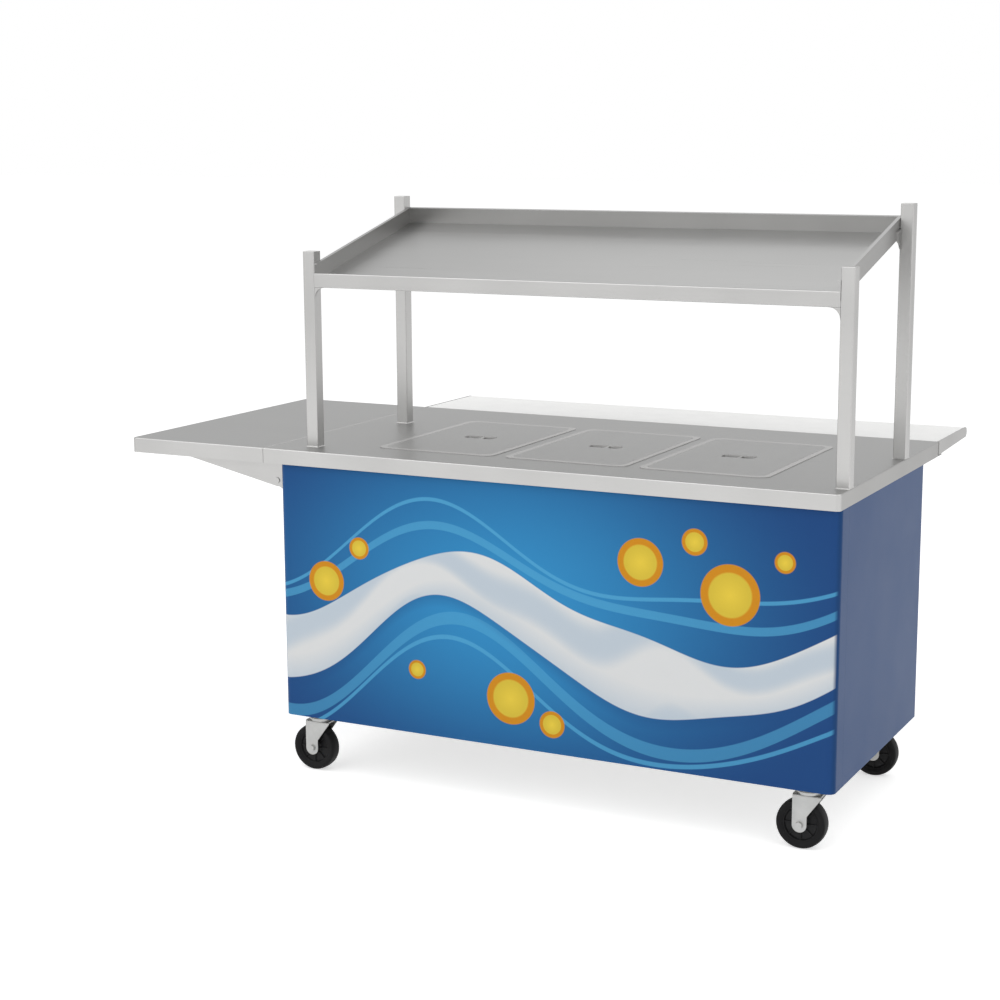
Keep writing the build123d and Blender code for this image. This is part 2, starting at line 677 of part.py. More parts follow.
def tangent_point(point, centre, radius, side):
    """Where the line from a point touches a circle, on its left (+1) or right (-1) side."""
    away = atan2(centre[1] - point[1], centre[0] - point[0])
    swing = side * asin(radius / hypot(centre[0] - point[0], centre[1] - point[1]))
    normal = away + swing + side * pi / 2
    return (centre[0] + radius * cos(normal), centre[1] + radius * sin(normal))


def arm_outline(root, crest, reach, seat_z):
    """Side view of a support arm: body face at x = 0, apron's bottom edge at z = 0, leaf towards -X.

    The crest is the upper edge from the pivot outwards, before the arm rises to its seat.
    """
    knee = crest[-1]
    tip = (-reach, seat_z - arm_tip_height)
    points = [
        tangent_point(crest[0], root, arm_root_radius, 1),
        *crest,
        (knee[0] - arm_rise, seat_z),
        (-reach, seat_z),
        tip,
        tangent_point(tip, root, arm_root_radius, -1),
    ]
    return make_face(Polyline(*points, close=True)) + Pos(*root) * Circle(arm_root_radius)


def support_arm(crest, reach, seat_z):
    """Folded arm: two cheeks and a web along the top edge, bored for its pivot pin."""
    face = arm_outline((-arm_pivot_out, -arm_pivot_down), crest, reach, seat_z)
    web = face - Pos(0, -arm_wall) * face
    half = arm_width / 2
    cheek = extrude(Plane.XZ * face, arm_wall)
    arm = Pos(0, half, 0) * cheek + Pos(0, -half + arm_wall, 0) * cheek
    arm += Pos(0, half, 0) * extrude(Plane.XZ * web, arm_width)
    return arm - rod((-arm_pivot_out, -arm_width, -arm_pivot_down), (0, 1, 0), arm_pin_radius + running_gap,
                     2 * arm_width)


def arm_bracket():
    """Wall bracket of one arm: a back plate with two ears bored for the pin."""
    centre_z = -arm_pivot_down
    bottom = centre_z - bracket_drop
    plate = block(-bracket_plate, 0, -bracket_width / 2, bracket_width / 2, bottom, -bracket_gap)
    plate = fillet(plate.edges().filter_by(Axis.X), bracket_plate)
    inner = arm_width / 2 + moving_gap
    nose = arm_root_radius * 0.75
    ear = make_face(Polyline((0, -bracket_gap), (-bracket_shoulder, -bracket_gap),
                             (-arm_pivot_out - nose, centre_z), (-arm_pivot_out, centre_z - nose),
                             (0, bottom + bracket_plate), close=True))
    ear = extrude(Plane.XZ * (ear + Pos(-arm_pivot_out, centre_z) * Circle(nose)), bracket_ear)
    bracket = plate + Pos(0, -inner, 0) * ear + Pos(0, inner + bracket_ear, 0) * ear
    return bracket - rod((-arm_pivot_out, -bracket_width, centre_z), (0, 1, 0), arm_pin_radius + running_gap,
                         2 * bracket_width)


def arm_pin():
    """Headed clevis pin through the ears and the arm."""
    reach = arm_width / 2 + moving_gap + bracket_ear
    pin = rod((-arm_pivot_out, -reach, -arm_pivot_down), (0, 1, 0), arm_pin_radius, 2 * reach + 2)
    for y in (-reach - 3, reach):
        pin += rod((-arm_pivot_out, y, -arm_pivot_down), (0, 1, 0), arm_pin_radius * 1.6, 3)
    return pin


def end_shelf_arm_places():
    """Frames of the two arms on the cart's left end, front one first."""
    return {
        "front": Pos(-half_length, end_arm_front_y, apron_bottom),
        "rear": Pos(-half_length, end_arm_rear_y, apron_bottom),
    }


def work_shelf_arm_places():
    """Frames of the two arms on the console, turned to point at the operator."""
    turn = Rot(0, 0, -90)
    return {
        "left": Pos(-half_length + work_shelf_arm_inset, panel_inner_y, apron_bottom) * turn,
        "right": Pos(half_length - work_shelf_arm_inset, panel_inner_y, apron_bottom) * turn,
    }


def end_shelf():
    """Drop leaf at the left end, its arms and wall brackets, and a hinge that runs between the arms."""
    hems = (hem_width, hinge_leaf_width + counter_sheet, hem_width, hem_width)
    pan = folded_pan(shelf_left, shelf_right, counter_front, counter_back, hems, counter_corner_radius,
                     lambda centre: centre.X < (shelf_left + shelf_right) / 2)
    hinge_start = end_arm_front_y + hinge_arm_margin
    place = Pos(counter_left - leaf_seam / 2, hinge_start, hinge_z)
    leaf, moving, pin = hinge_parts(end_arm_rear_y - hinge_arm_margin - hinge_start)
    save("end_shelf", pan + place * moving)
    save("end_shelf_hinge_leaf", place * leaf)
    save("end_shelf_hinge_pin", place * pin)
    hem_end = counter_left_overhang + leaf_seam + hinge_leaf_width + 2 * counter_sheet
    crest = [(-arm_heel_out, -arm_top_gap), (-hem_end, -arm_top_gap)]
    arm = support_arm(crest, end_shelf_arm_reach, deck_underside - seat_gap - apron_bottom)
    places = end_shelf_arm_places()
    for name, frame in places.items():
        save(f"end_shelf_arm_{name}", frame * arm)
    save("end_shelf_arm_brackets", group([frame * arm_bracket() for frame in places.values()]))


def work_shelf():
    """Rear drop leaf: stainless end plates and rails carrying a plastic work board."""
    board_top = counter_height - seat_gap
    tip_radius = end_plate_tip / 2
    tip_y = work_back - tip_radius
    plate = make_face(Polyline((work_front, counter_height - end_plate_height), (work_front, board_top),
                               (tip_y, board_top), (tip_y, board_top - end_plate_tip), close=True))
    tip = Pos(tip_y, board_top - tip_radius) * Circle(tip_radius)
    end_plate = extrude(Plane.YZ * (plate + tip), end_plate_thickness)
    inner_left = counter_left + end_plate_thickness
    inner_right = counter_right - end_plate_thickness
    ledge_z = board_top - board_thickness - seat_gap
    frame = Pos(counter_left, 0, 0) * end_plate + Pos(inner_right, 0, 0) * end_plate
    frame += block(counter_left, counter_right, work_front, work_front + counter_sheet, apron_bottom, ledge_z)
    frame += block(counter_left, counter_right, work_front, work_front + hinge_leaf_width + counter_sheet,
                   apron_bottom, apron_bottom + counter_sheet)
    rail_z = ledge_z - rail_thickness
    frame += block(counter_left, counter_right, work_front, work_front + rail_height, rail_z, ledge_z)
    back = work_back - end_plate_tip
    frame += block(counter_left, counter_right, back - rail_height, back, rail_z, ledge_z)
    frame += block(counter_left, counter_right, back - rail_thickness, back,
                   ledge_z - rail_height + board_thickness, ledge_z)
    for x in (-half_length + work_shelf_arm_inset, half_length - work_shelf_arm_inset):
        frame += block(x - arm_width, x + arm_width, work_front, back, rail_z, ledge_z)
    length = counter_right - counter_left - 2 * hinge_end_margin
    place = Pos(counter_left + hinge_end_margin, counter_back + leaf_seam / 2, hinge_z) * Rot(0, 0, -90)
    leaf, moving, pin = hinge_parts(length)
    save("work_shelf_frame", frame + place * moving)
    save("work_shelf_hinge_leaf", place * leaf)
    save("work_shelf_hinge_pin", place * pin)
    board = block(inner_left + board_play, inner_right - board_play, work_front + board_play,
                  tip_y, board_top - board_thickness, board_top)
    board = fillet(board.edges().filter_by(Axis.Z), 4 * board_edge_radius)
    board = fillet(board.faces().sort_by(Axis.Z)[-1].edges(), board_edge_radius)
    save("work_board", board)
    hem_end = counter_back + leaf_seam - panel_inner_y + hinge_leaf_width + 2 * counter_sheet
    arm = support_arm([(-hem_end, -2 * hinge_drop)], work_shelf_arm_reach, rail_z - seat_gap - apron_bottom)
    places = work_shelf_arm_places()
    for name, arm_place in places.items():
        save(f"work_shelf_arm_{name}", arm_place * arm)
    save("work_shelf_arm_brackets", group([arm_place * arm_bracket() for arm_place in places.values()]))


def arm_pins():
    """The four clevis pins of the drop-leaf arms."""
    places = [*end_shelf_arm_places().values(), *work_shelf_arm_places().values()]
    save("arm_pins", group([place * arm_pin() for place in places]))


def caster_plate():
    """Top plate with its raceway, kingpin and nut, about the kingpin's axis."""
    top = body_bottom
    under = top - caster_plate_thickness
    plate = extrude(RectangleRounded(caster_plate_length, caster_plate_width, 8), caster_plate_thickness)
    plate = Pos(0, 0, under) * plate
    for hx in (-1, 1):
        for hy in (-1, 1):
            plate -= rod((hx * plate_hole_pitch_x / 2, hy * plate_hole_pitch_y / 2, 0), (0, 0, 1),
                         plate_hole_radius, 2 * top)
    crown_top = crown_height + fork_sheet + raceway_height
    race = crown_top + moving_gap
    bell = make_face(Plane.XZ * Polyline((0, race), (raceway_radius, race), (raceway_radius, crown_top + 4),
                                         (raceway_radius - 9, under), (0, under), close=True))
    plate += revolve(bell, axis=Axis.Z)
    plate += rod((0, 0, crown_height - 11), (0, 0, 1), kingpin_radius, top - crown_height)
    nut = Pos(0, 0, crown_height - 10) * extrude(RegularPolygon(2 * kingpin_radius, 6), 10 - moving_gap)
    return plate + nut


def caster_fork():
    """Swivel fork pressed from one blank: a bent channel trimmed to a leg set back to the axle."""
    crown_top = crown_height + fork_sheet
    half = fork_crown_width / 2
    axle_z = wheel_radius
    heel = (-caster_trail, axle_z)
    toe_x = fork_root_radius - caster_trail
    leg = make_face(Polyline((-half, crown_top), (half, crown_top), (half, crown_height - fork_sheet),
                             (toe_x, axle_z + fork_knee), (toe_x, axle_z),
                             tangent_point((-half, crown_top), heel, fork_root_radius, -1), close=True))
    leg += Pos(*heel) * Circle(fork_root_radius)
    inner = wheel_width / 2 + fork_gap
    reach = inner + fork_sheet
    bend = 2 * fork_sheet
    channel = Pos(0, crown_top / 2) * Rectangle(2 * reach, crown_top)
    channel = fillet(channel.vertices().group_by(Axis.Y)[-1], bend)
    gap = Pos(0, crown_height / 2) * Rectangle(2 * inner, crown_height)
    channel -= fillet(gap.vertices().group_by(Axis.Y)[-1], bend - fork_sheet)
    fork = extrude(Plane.YZ * channel, fork_crown_width, both=True) & extrude(Plane.XZ * leg, reach, both=True)
    fork += rod((0, 0, crown_top), (0, 0, 1), raceway_radius - 3, raceway_height)
    fork -= rod((0, 0, crown_height - 1), (0, 0, 1), kingpin_radius + running_gap, 4 * raceway_height)
    return fork - rod((-caster_trail, -2 * reach, axle_z), (0, 1, 0), wheel_bore_radius, 4 * reach)


def caster_wheel():
    """Crowned wheel with a dished web and a hub, about its axle."""
    half = wheel_width / 2
    hub = hub_width / 2
    rim = wheel_radius - 20
    shoulder = wheel_radius - 2
    lower = [(wheel_bore_radius + running_gap, -hub), (hub_radius, -hub), (hub_radius, -half + 6),
             (hub_radius + 4, -half + 10), (rim - 4, -half + 10), (rim, -half + 3), (shoulder - 9, -half),
             (shoulder - 3, -half), (shoulder, -half + 1.5), (shoulder + 1.4, -half + 5)]
    upper = [(x, -y) for x, y in reversed(lower)]
    outline = Polyline(*upper) + Polyline(*lower)
    outline += ThreePointArc(lower[-1], (wheel_radius, 0), upper[0])
    outline += Line(upper[-1], lower[0])
    wheel = revolve(make_face(outline), axis=Axis.Y)
    return Pos(-caster_trail, 0, wheel_radius) * wheel


def caster_axle():
    """Axle bolt with its head and nut."""
    reach = wheel_width / 2 + fork_gap + fork_sheet
    axle = rod((-caster_trail, -reach, wheel_radius), (0, 1, 0), wheel_bore_radius - running_gap, 2 * reach)
    for y in (-reach - 6, reach):
        plane = Plane(origin=(-caster_trail, y, wheel_radius), z_dir=(0, 1, 0))
        axle += extrude(plane * RegularPolygon(1.6 * wheel_bore_radius, 6), 6)
    return axle


def casters():
    """Four swivel casters; the plates share one node."""
    plates = []
    for name, (sx, sy) in corners.items():
        place = Pos(sx * kingpin_x, sy * kingpin_y, 0)
        plates.append(place * caster_plate())
        save(f"caster_fork_{name}", place * caster_fork())
        save(f"caster_wheel_{name}", place * caster_wheel())
        save(f"caster_axle_{name}", place * caster_axle())
    save("caster_plates", group(plates))


def main():
    os.makedirs("parts", exist_ok=True)
    body_panels()
    base_frame()
    upper_frame()
    cabinet_floor_and_shelf()
    counter_top()
    wells()
    drain()
    console()
    posts()
    display_tray()
    tray_gussets()
    end_shelf()
    work_shelf()
    arm_pins()
    casters()


main()
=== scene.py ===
"""Finishes, turned wheels, small hardware and a studio stage for the hot well cart."""

from itertools import product
from math import cos, pi, radians, sin, sqrt

import bmesh
import bpy
from bpy.props import FloatProperty, FloatVectorProperty, IntProperty, PointerProperty
from bpy.types import Operator, Panel, PropertyGroup
from mathutils import Matrix, Vector


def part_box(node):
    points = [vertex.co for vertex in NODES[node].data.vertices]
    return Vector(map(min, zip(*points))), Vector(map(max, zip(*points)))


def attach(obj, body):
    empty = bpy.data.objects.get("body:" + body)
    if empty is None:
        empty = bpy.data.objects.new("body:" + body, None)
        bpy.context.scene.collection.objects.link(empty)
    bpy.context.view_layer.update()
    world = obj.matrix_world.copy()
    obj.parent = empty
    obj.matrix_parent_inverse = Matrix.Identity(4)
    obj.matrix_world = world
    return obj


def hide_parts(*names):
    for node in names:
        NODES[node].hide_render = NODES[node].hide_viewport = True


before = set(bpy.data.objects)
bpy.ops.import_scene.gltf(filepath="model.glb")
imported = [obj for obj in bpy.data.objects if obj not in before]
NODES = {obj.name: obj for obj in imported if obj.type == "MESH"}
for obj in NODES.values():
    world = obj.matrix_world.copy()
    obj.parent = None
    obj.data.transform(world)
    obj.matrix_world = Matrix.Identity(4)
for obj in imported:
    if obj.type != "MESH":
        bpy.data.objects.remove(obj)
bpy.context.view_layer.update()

bl_info = {
    "name": "Hot Well Cart",
    "version": (1, 0, 0),
    "blender": (4, 5, 0),
    "location": "View3D > Sidebar > Cart",
    "description": "Dresses a mobile serving counter with hot wells",
    "category": "Object",
}

CORNERS = ("front_left", "front_right", "rear_left", "rear_right")
END_PANELS = ("left_end_panel", "right_end_panel")
WELLS = (1, 2, 3)


def tint(label, words, value):
    """A colour that a user may change."""
    return FloatVectorProperty(name=label, description=words, default=value, size=3, subtype="COLOR", min=0, max=1)


def length(label, words, value):
    """A length in metres that a user may change."""
    return FloatProperty(name=label, description=words, default=value, subtype="DISTANCE", precision=4)


def angle(label, words, degrees):
    """An angle that a user may change."""
    return FloatProperty(name=label, description=words, default=radians(degrees), subtype="ANGLE")


def number(label, words, value):
    """A plain number that a user may change."""
    return FloatProperty(name=label, description=words, default=value)


class CartFinishes(PropertyGroup):
    """Colours of the cart's finishes."""

    steel: tint("Steel", "Satin stainless of posts, aprons and tray", (0.475, 0.472, 0.465))
    # Painted light: this tone goes only on level tops, a lit copy of the steel standing in for how light falls on
    # them
    painted_top_tone: tint("Deck", "Brushed stainless of the flat counter surfaces", (0.50, 0.50, 0.495))
    blue_light: tint("Light blue", "Middle of the front panel", (0.043, 0.297, 0.61))
    blue_deep: tint("Deep blue", "Rim of the front panel", (0.0195, 0.074, 0.233))
    blue_end: tint("End blue", "End panels", (0.016, 0.062, 0.185))
    blue_echo: tint("Echo blue", "Thin lines that follow the white band", (0.10, 0.42, 0.70))
    ribbon: tint("Ribbon", "White band on the front panel", (0.78, 0.79, 0.79))
    ribbon_shade: tint("Ribbon shade", "Folds of the white band", (0.40, 0.53, 0.66))
    yellow: tint("Yellow", "Face of the discs on the front panel", (0.74, 0.55, 0.06))
    amber: tint("Amber", "Rim of the discs and the pilot lamps", (0.68, 0.28, 0.02))
    board: tint("Board", "Plastic work board", (0.90, 0.90, 0.89))
    rubber: tint("Rubber", "Caster tyres", (0.006, 0.006, 0.0065))
    core: tint("Wheel core", "Moulded centres of the caster wheels", (0.009, 0.009, 0.0095))
    zinc: tint("Zinc", "Caster forks, plates, bolts, rivets and screws", (0.45, 0.45, 0.44))
    galvanised: tint("Galvanised", "Frames and housing inside the cabinet", (0.42, 0.44, 0.45))
    black: tint("Black", "Knobs, dial marks and power inlet", (0.02, 0.02, 0.02))
    pointer: tint("Pointer", "Mark on each knob", (0.80, 0.80, 0.78))
    brass: tint("Brass", "Drain valve and header", (0.60, 0.42, 0.16))
    red: tint("Red", "Sleeve of the drain lever", (0.45, 0.02, 0.015))


class CartPrint(PropertyGroup):
    """Generic print on the front panel: a flowing band, thin echoes of it and a few discs."""

    glow_width: length("Glow width", "Reach of the light blue along the panel", 0.97)
    glow_height: length("Glow height", "Reach of the light blue up the panel", 0.62)
    level: length("Level", "Mean height of the white band", 0.485)
    swing: length("Swing", "Rise and fall of the white band", 0.115)
    wave: length("Wave", "From crest to crest of the white band", 1.26)
    crest: length("Crest", "Place of the white band's crest", 0.02)
    half_width: length("Half width", "Half of the white band's mean width", 0.080)
    edge: length("Edge", "Softness of printed edges", 0.0012)


class CartHardware(PropertyGroup):
    """Sizes of turned wheels and small hardware."""

    tyre_depth: length("Tyre depth", "Thickness of the tyre on the wheel", 0.019)
    tyre_width: length("Tyre width", "Width of the tread", 0.038)
    bore: length("Bore", "Radius of the wheel's bore", 0.0062)
    ribs: IntProperty(name="Ribs", description="Ribs on each face of a wheel's core", default=8, min=3, max=16)
    bolt: length("Bolt", "Radius of a caster bolt's head", 0.0075)
    screw: length("Screw", "Radius of a console screw's head", 0.0042)
    rivet: length("Rivet", "Radius of a panel rivet's head", 0.0048)
    weld: length("Weld", "Leg of the weld round a post's foot", 0.003)
    dial: length("Dial", "Radius of the marks round a knob", 0.0275)
    bare_lever: length("Bare lever", "Reach of the drain lever's bare metal from its stem", 0.042)


class CartStage(PropertyGroup):
    """Camera and light."""

    turn: angle("Turn", "Camera's angle round the cart", 26.19)
    rise: angle("Rise", "Camera's angle above the floor", 10.65)
    roll: angle("Roll", "Camera's tilt", -0.12)
    distance: length("Distance", "Camera to target", 5.421)
    target: FloatVectorProperty(name="Target", description="Point looked at", default=(0.0456, -0.2225, 0.75675),
                                subtype="TRANSLATION")
    lens: number("Lens", "Focal length in millimetres", 70.48)
    shift: number("Shift", "Sideways shift of the frame", -0.036)
    floor: tint("Floor", "Pale studio floor", (0.88, 0.88, 0.88))
    sky: number("Sky", "Strength of the light from all round", 0.55)
    haze: number("Haze", "Lift of the floor towards the white background", 0.55)


def finish():
    """The finishes' colours as they are set now."""
    return bpy.context.scene.cart_finishes


def pattern():
    """The print's sizes as they are set now."""
    return bpy.context.scene.cart_print


def new_material(name):
    """A material with its node tree and its one shader."""
    material = bpy.data.materials.new(name)
    material.use_nodes = True
    return material, material.node_tree, material.node_tree.nodes["Principled BSDF"]


def put(tree, kind, **settings):
    """One node; keys that name an input set its value, others set the node's own settings."""
    node = tree.nodes.new(kind)
    for key, value in settings.items():
        if hasattr(node, key):
            setattr(node, key, value)
        else:
            node.inputs[key.replace("_", " ")].default_value = value
    return node


def math(tree, operation, first, second=0.0, clamp=False):
    """A Math node fed by sockets or numbers; returns its output."""
    node = put(tree, "ShaderNodeMath", operation=operation, use_clamp=clamp)
    for socket, value in zip(node.inputs, (first, second)):
        if isinstance(value, (int, float)):
            socket.default_value = value
        else:
            tree.links.new(value, socket)
    return node.outputs[0]


def mix(tree, factor, first, second):
    """A colour mix fed by sockets or colours; returns its output."""
    node = put(tree, "ShaderNodeMix", data_type="RGBA")
    for socket, value in ((node.inputs[0], factor), (node.inputs[6], first), (node.inputs[7], second)):
        if isinstance(value, bpy.types.NodeSocket):
            tree.links.new(value, socket)
        elif isinstance(value, (int, float)):
            socket.default_value = value
        else:
            socket.default_value = (*value, 1)
    return node.outputs[2]


def spread(tree, value, low, high, from_low=0.0, from_high=1.0, smooth=False):
    """Maps a value to another range; returns its output."""
    node = put(tree, "ShaderNodeMapRange", From_Min=from_low, From_Max=from_high, To_Min=low, To_Max=high,
               interpolation_type="SMOOTHSTEP" if smooth else "LINEAR")
    tree.links.new(value, node.inputs["Value"])
    return node.outputs["Result"]


def stretch(tree, grey, low=0.0, high=1.0):
    """Maps the middle of a noise, where most of its values lie, to a whole range."""
    return spread(tree, grey, low, high, from_low=0.3, from_high=0.7)


def place(tree, scale=(1, 1, 1), location=(0, 0, 0)):
    """Object coordinates through a Mapping node."""
    coordinates = tree.nodes.new("ShaderNodeTexCoord")
    mapping = put(tree, "ShaderNodeMapping", Scale=scale, Location=location)
    tree.links.new(coordinates.outputs["Object"], mapping.inputs["Vector"])
    return mapping.outputs["Vector"]


def axes(tree, output):
    """The three parts of Object coordinates or of the object's Normal."""
    coordinates = tree.nodes.new("ShaderNodeTexCoord")
    parts = tree.nodes.new("ShaderNodeSeparateXYZ")
    tree.links.new(coordinates.outputs[output], parts.inputs[0])
    return parts.outputs["X"], parts.outputs["Y"], parts.outputs["Z"]


def distance_from(tree, vector, point):
    """Distance of a vector from a fixed point; returns its output."""
    node = put(tree, "ShaderNodeVectorMath", operation="DISTANCE")
    tree.links.new(vector, node.inputs[0])
    node.inputs[1].default_value = point
    return node.outputs["Value"]


def noise(tree, vector, scale, detail=2.0, roughness=0.5):
    """Fractal noise; returns its grey output."""
    node = put(tree, "ShaderNodeTexNoise", Scale=scale, Detail=detail, Roughness=roughness)
    tree.links.new(vector, node.inputs["Vector"])
    return node.outputs[0]


def bump(tree, shader, height, strength, distance):
    """Feeds a height to the shader's normal."""
    node = put(tree, "ShaderNodeBump", Strength=strength, Distance=distance)
    tree.links.new(height, node.inputs["Height"])
    tree.links.new(node.outputs["Normal"], shader.inputs["Normal"])


def shades(tone, below, above):
    """A darker and a lighter shade of a colour."""
    return [c * below for c in tone], [min(1.0, c * above) for c in tone]


# Scales that draw a noise out into lines along one axis
GRAIN = {"X": (2, 560, 560), "Y": (560, 2, 560), "Z": (560, 560, 2)}


def satin_steel(name, tone, grain, roughness=0.33, painted_top_tone=None, graze=1.0, metal=1.0):
    """Brushed stainless with its grain along one axis.

    Level tops may have a painted tone of their own, lighter than the sides, standing in for how light falls on
    them, and a low graze dims the sheen at flat angles.
    """
    material, tree, shader = new_material(name)
    lines = noise(tree, place(tree, GRAIN[grain]), scale=1.0, detail=3.0, roughness=0.6)
    cloud = noise(tree, place(tree), scale=3.5)
    colour = mix(tree, stretch(tree, cloud), *shades(tone, below=0.95, above=1.05))
    # Painted light: level tops take their own lighter tone, a lit copy of the steel; only their grain lines are
    # real
    if painted_top_tone:
        level = spread(tree, axes(tree, "Normal")[2], 0.0, 1.0, from_low=0.6, from_high=0.95)
        flat = mix(tree, stretch(tree, lines), *shades(painted_top_tone, below=0.95, above=1.05))
        colour = mix(tree, level, colour, flat)
    tree.links.new(colour, shader.inputs["Base Color"])
    rough = spread(tree, lines, roughness - 0.06, roughness + 0.08, from_low=0.25, from_high=0.75)
    tree.links.new(rough, shader.inputs["Roughness"])
    shader.inputs["Metallic"].default_value = metal
    shader.inputs["Specular Tint"].default_value = (graze, graze, graze, 1)
    bump(tree, shader, lines, strength=0.12, distance=0.0002)
    return material


PLATED_METAL = 0.9


def plating(tree, shader, tone):
    """Faint cloudy relief of plated or machined metal; returns its colour and its cloud."""
    cloud = noise(tree, place(tree), scale=22.0, detail=4.0, roughness=0.6)
    bump(tree, shader, cloud, strength=0.05, distance=0.0004)
    return mix(tree, stretch(tree, cloud), *shades(tone, below=0.88, above=1.08)), cloud


def plated_steel(name, tone, roughness=0.38):
    """Plated steel or machined brass."""
    material, tree, shader = new_material(name)
    colour, cloud = plating(tree, shader, tone)
    tree.links.new(colour, shader.inputs["Base Color"])
    tree.links.new(stretch(tree, cloud, roughness - 0.08, roughness + 0.1), shader.inputs["Roughness"])
    shader.inputs["Metallic"].default_value = PLATED_METAL
    return material


def spangled_steel(name, tone):
    """Hot-dip galvanised sheet, whose crystals each have their own shade and gloss."""
    material, tree, shader = new_material(name)
    crystal = put(tree, "ShaderNodeTexVoronoi", Scale=55.0)
    tree.links.new(place(tree), crystal.inputs["Vector"])
    parts = tree.nodes.new("ShaderNodeSeparateColor")
    tree.links.new(crystal.outputs["Color"], parts.inputs[0])
    colour = mix(tree, parts.outputs[0], *shades(tone, below=0.82, above=1.15))
    tree.links.new(colour, shader.inputs["Base Color"])
    tree.links.new(spread(tree, parts.outputs[1], 0.38, 0.58), shader.inputs["Roughness"])
    shader.inputs["Metallic"].default_value = 0.85
    return material


def moulded(name, tone, roughness, grain=900.0, depth=0.00015, gloss=0.5, cloud=0.12):
    """Moulded plastic, rubber or paint with a fine grain and slightly uneven colour."""
    material, tree, shader = new_material(name)
    fine = noise(tree, place(tree), scale=grain)
    broad = noise(tree, place(tree), scale=14.0, detail=3.0)
    colour = mix(tree, stretch(tree, broad), *shades(tone, below=1 - cloud, above=1 + cloud))
    tree.links.new(colour, shader.inputs["Base Color"])
    rough = stretch(tree, broad, roughness - cloud / 2, roughness + cloud / 2)
    tree.links.new(rough, shader.inputs["Roughness"])
    shader.inputs["Specular IOR Level"].default_value = gloss
    bump(tree, shader, fine, strength=0.25, distance=depth)
    return material


SLEEVE_EDGE = 0.0002


def sleeved_lever(name, plastic, metal, stem, reach):
    """Plated lever, stem and ball with a plastic sleeve beyond a reach from the stem."""
    material, tree, shader = new_material(name)
    plated, cloud = plating(tree, shader, metal)
    dipped = mix(tree, stretch(tree, cloud), *shades(plastic, below=0.9, above=1.1))
    away = distance_from(tree, place(tree, scale=(1, 1, 0)), (*stem, 0))
    sleeve = spread(tree, away, 0.0, 1.0, reach - SLEEVE_EDGE, reach + SLEEVE_EDGE)
    tree.links.new(mix(tree, sleeve, plated, dipped), shader.inputs["Base Color"])
    tree.links.new(spread(tree, sleeve, PLATED_METAL, 0.0), shader.inputs["Metallic"])
    tree.links.new(stretch(tree, cloud, 0.30, 0.42), shader.inputs["Roughness"])
    return material


def film(name):
    """Satin film on the outside of a body panel, before its colour."""
    material, tree, shader = new_material(name)
    peel = noise(tree, place(tree), scale=420.0, detail=1.0)
    rough = stretch(tree, noise(tree, place(tree), scale=6.0), 0.30, 0.34)
    tree.links.new(rough, shader.inputs["Roughness"])
    shader.inputs["Specular IOR Level"].default_value = 0.06
    bump(tree, shader, peel, strength=0.04, distance=0.0003)
    return material, tree, shader


# Band about zero in which a face's look in or out of the body is mixed
FACING_EDGE = 0.001


def back_with_steel(tree, shader, colour):
    """Shows a film's colour on faces that look out of the body, and bare sheet on those that look in."""
    boxes = [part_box(name) for name in (*END_PANELS, "front_panel")]
    low = [min(box[0][axis] for box in boxes) for axis in range(3)]
    high = [max(box[1][axis] for box in boxes) for axis in range(3)]
    coordinates = tree.nodes.new("ShaderNodeTexCoord")
    facing = put(tree, "ShaderNodeVectorMath", operation="DOT_PRODUCT")
    tree.links.new(place(tree, location=[-(a + b) / 2 for a, b in zip(low, high)]), facing.inputs[0])
    tree.links.new(coordinates.outputs["Normal"], facing.inputs[1])
    inside = spread(tree, facing.outputs["Value"], 1.0, 0.0, -FACING_EDGE, FACING_EDGE)
    cloud = noise(tree, place(tree), scale=30.0, detail=3.0)
    sheet = mix(tree, cloud, *shades(finish().galvanised, below=0.9, above=1.1))
    tree.links.new(mix(tree, inside, colour, sheet), shader.inputs["Base Color"])
    tree.links.new(math(tree, "MULTIPLY", inside, 0.5), shader.inputs["Metallic"])


def plain_film(name, tone):
    """Film of one blue with faint unevenness."""
    material, tree, shader = film(name)
    cloud = noise(tree, place(tree), scale=2.0)
    back_with_steel(tree, shader, mix(tree, cloud, *shades(tone, below=0.97, above=1.03)))
    return material


def wave(tree, along, level, swings):
    """Height of a flowing line: a level plus cosines given as (swing, length, crest)."""
    height = level
    for swing, span, crest in swings:
        phase = math(tree, "MULTIPLY", math(tree, "SUBTRACT", along, crest), 2 * pi / span)
        height = math(tree, "ADD", math(tree, "MULTIPLY", math(tree, "COSINE", phase), swing), height)
    return height


def band(tree, offset, half, soft):
    """Mask of a band about a line, from the distance above the line."""
    return spread(tree, math(tree, "SUBTRACT", math(tree, "ABSOLUTE", offset), half), 1.0, 0.0, -soft, soft)


# Middle of the glow, as shares of the panel's length and height
GLOW_ALONG = 0.44
GLOW_UP = 0.56


def glow(tree, low, high):
    """Deep blue that lightens softly towards the middle of the panel."""
    wide = 1 / pattern().glow_width
    tall = 1 / pattern().glow_height
    centre_x = low[0] + GLOW_ALONG * (high[0] - low[0])
    centre_z = low[2] + GLOW_UP * (high[2] - low[2])
    sphere = put(tree, "ShaderNodeTexGradient", gradient_type="SPHERICAL")
    tree.links.new(place(tree, (wide, 0, tall), (-centre_x * wide, 0, -centre_z * tall)), sphere.inputs["Vector"])
    light = spread(tree, sphere.outputs["Fac"], 0.0, 1.0, smooth=True)
    return mix(tree, light, finish().blue_deep, finish().blue_light)


# Thin lines beside the white band: lift from it, swing, half width and strength
ECHOES = ((0.140, 0.030, 0.011, 0.60), (0.186, 0.044, 0.005, 0.75), (-0.150, 0.036, 0.017, 0.50),
          (-0.200, 0.030, 0.006, 0.70))
ECHO_SPAN = 0.98
ECHO_CREST = 0.35


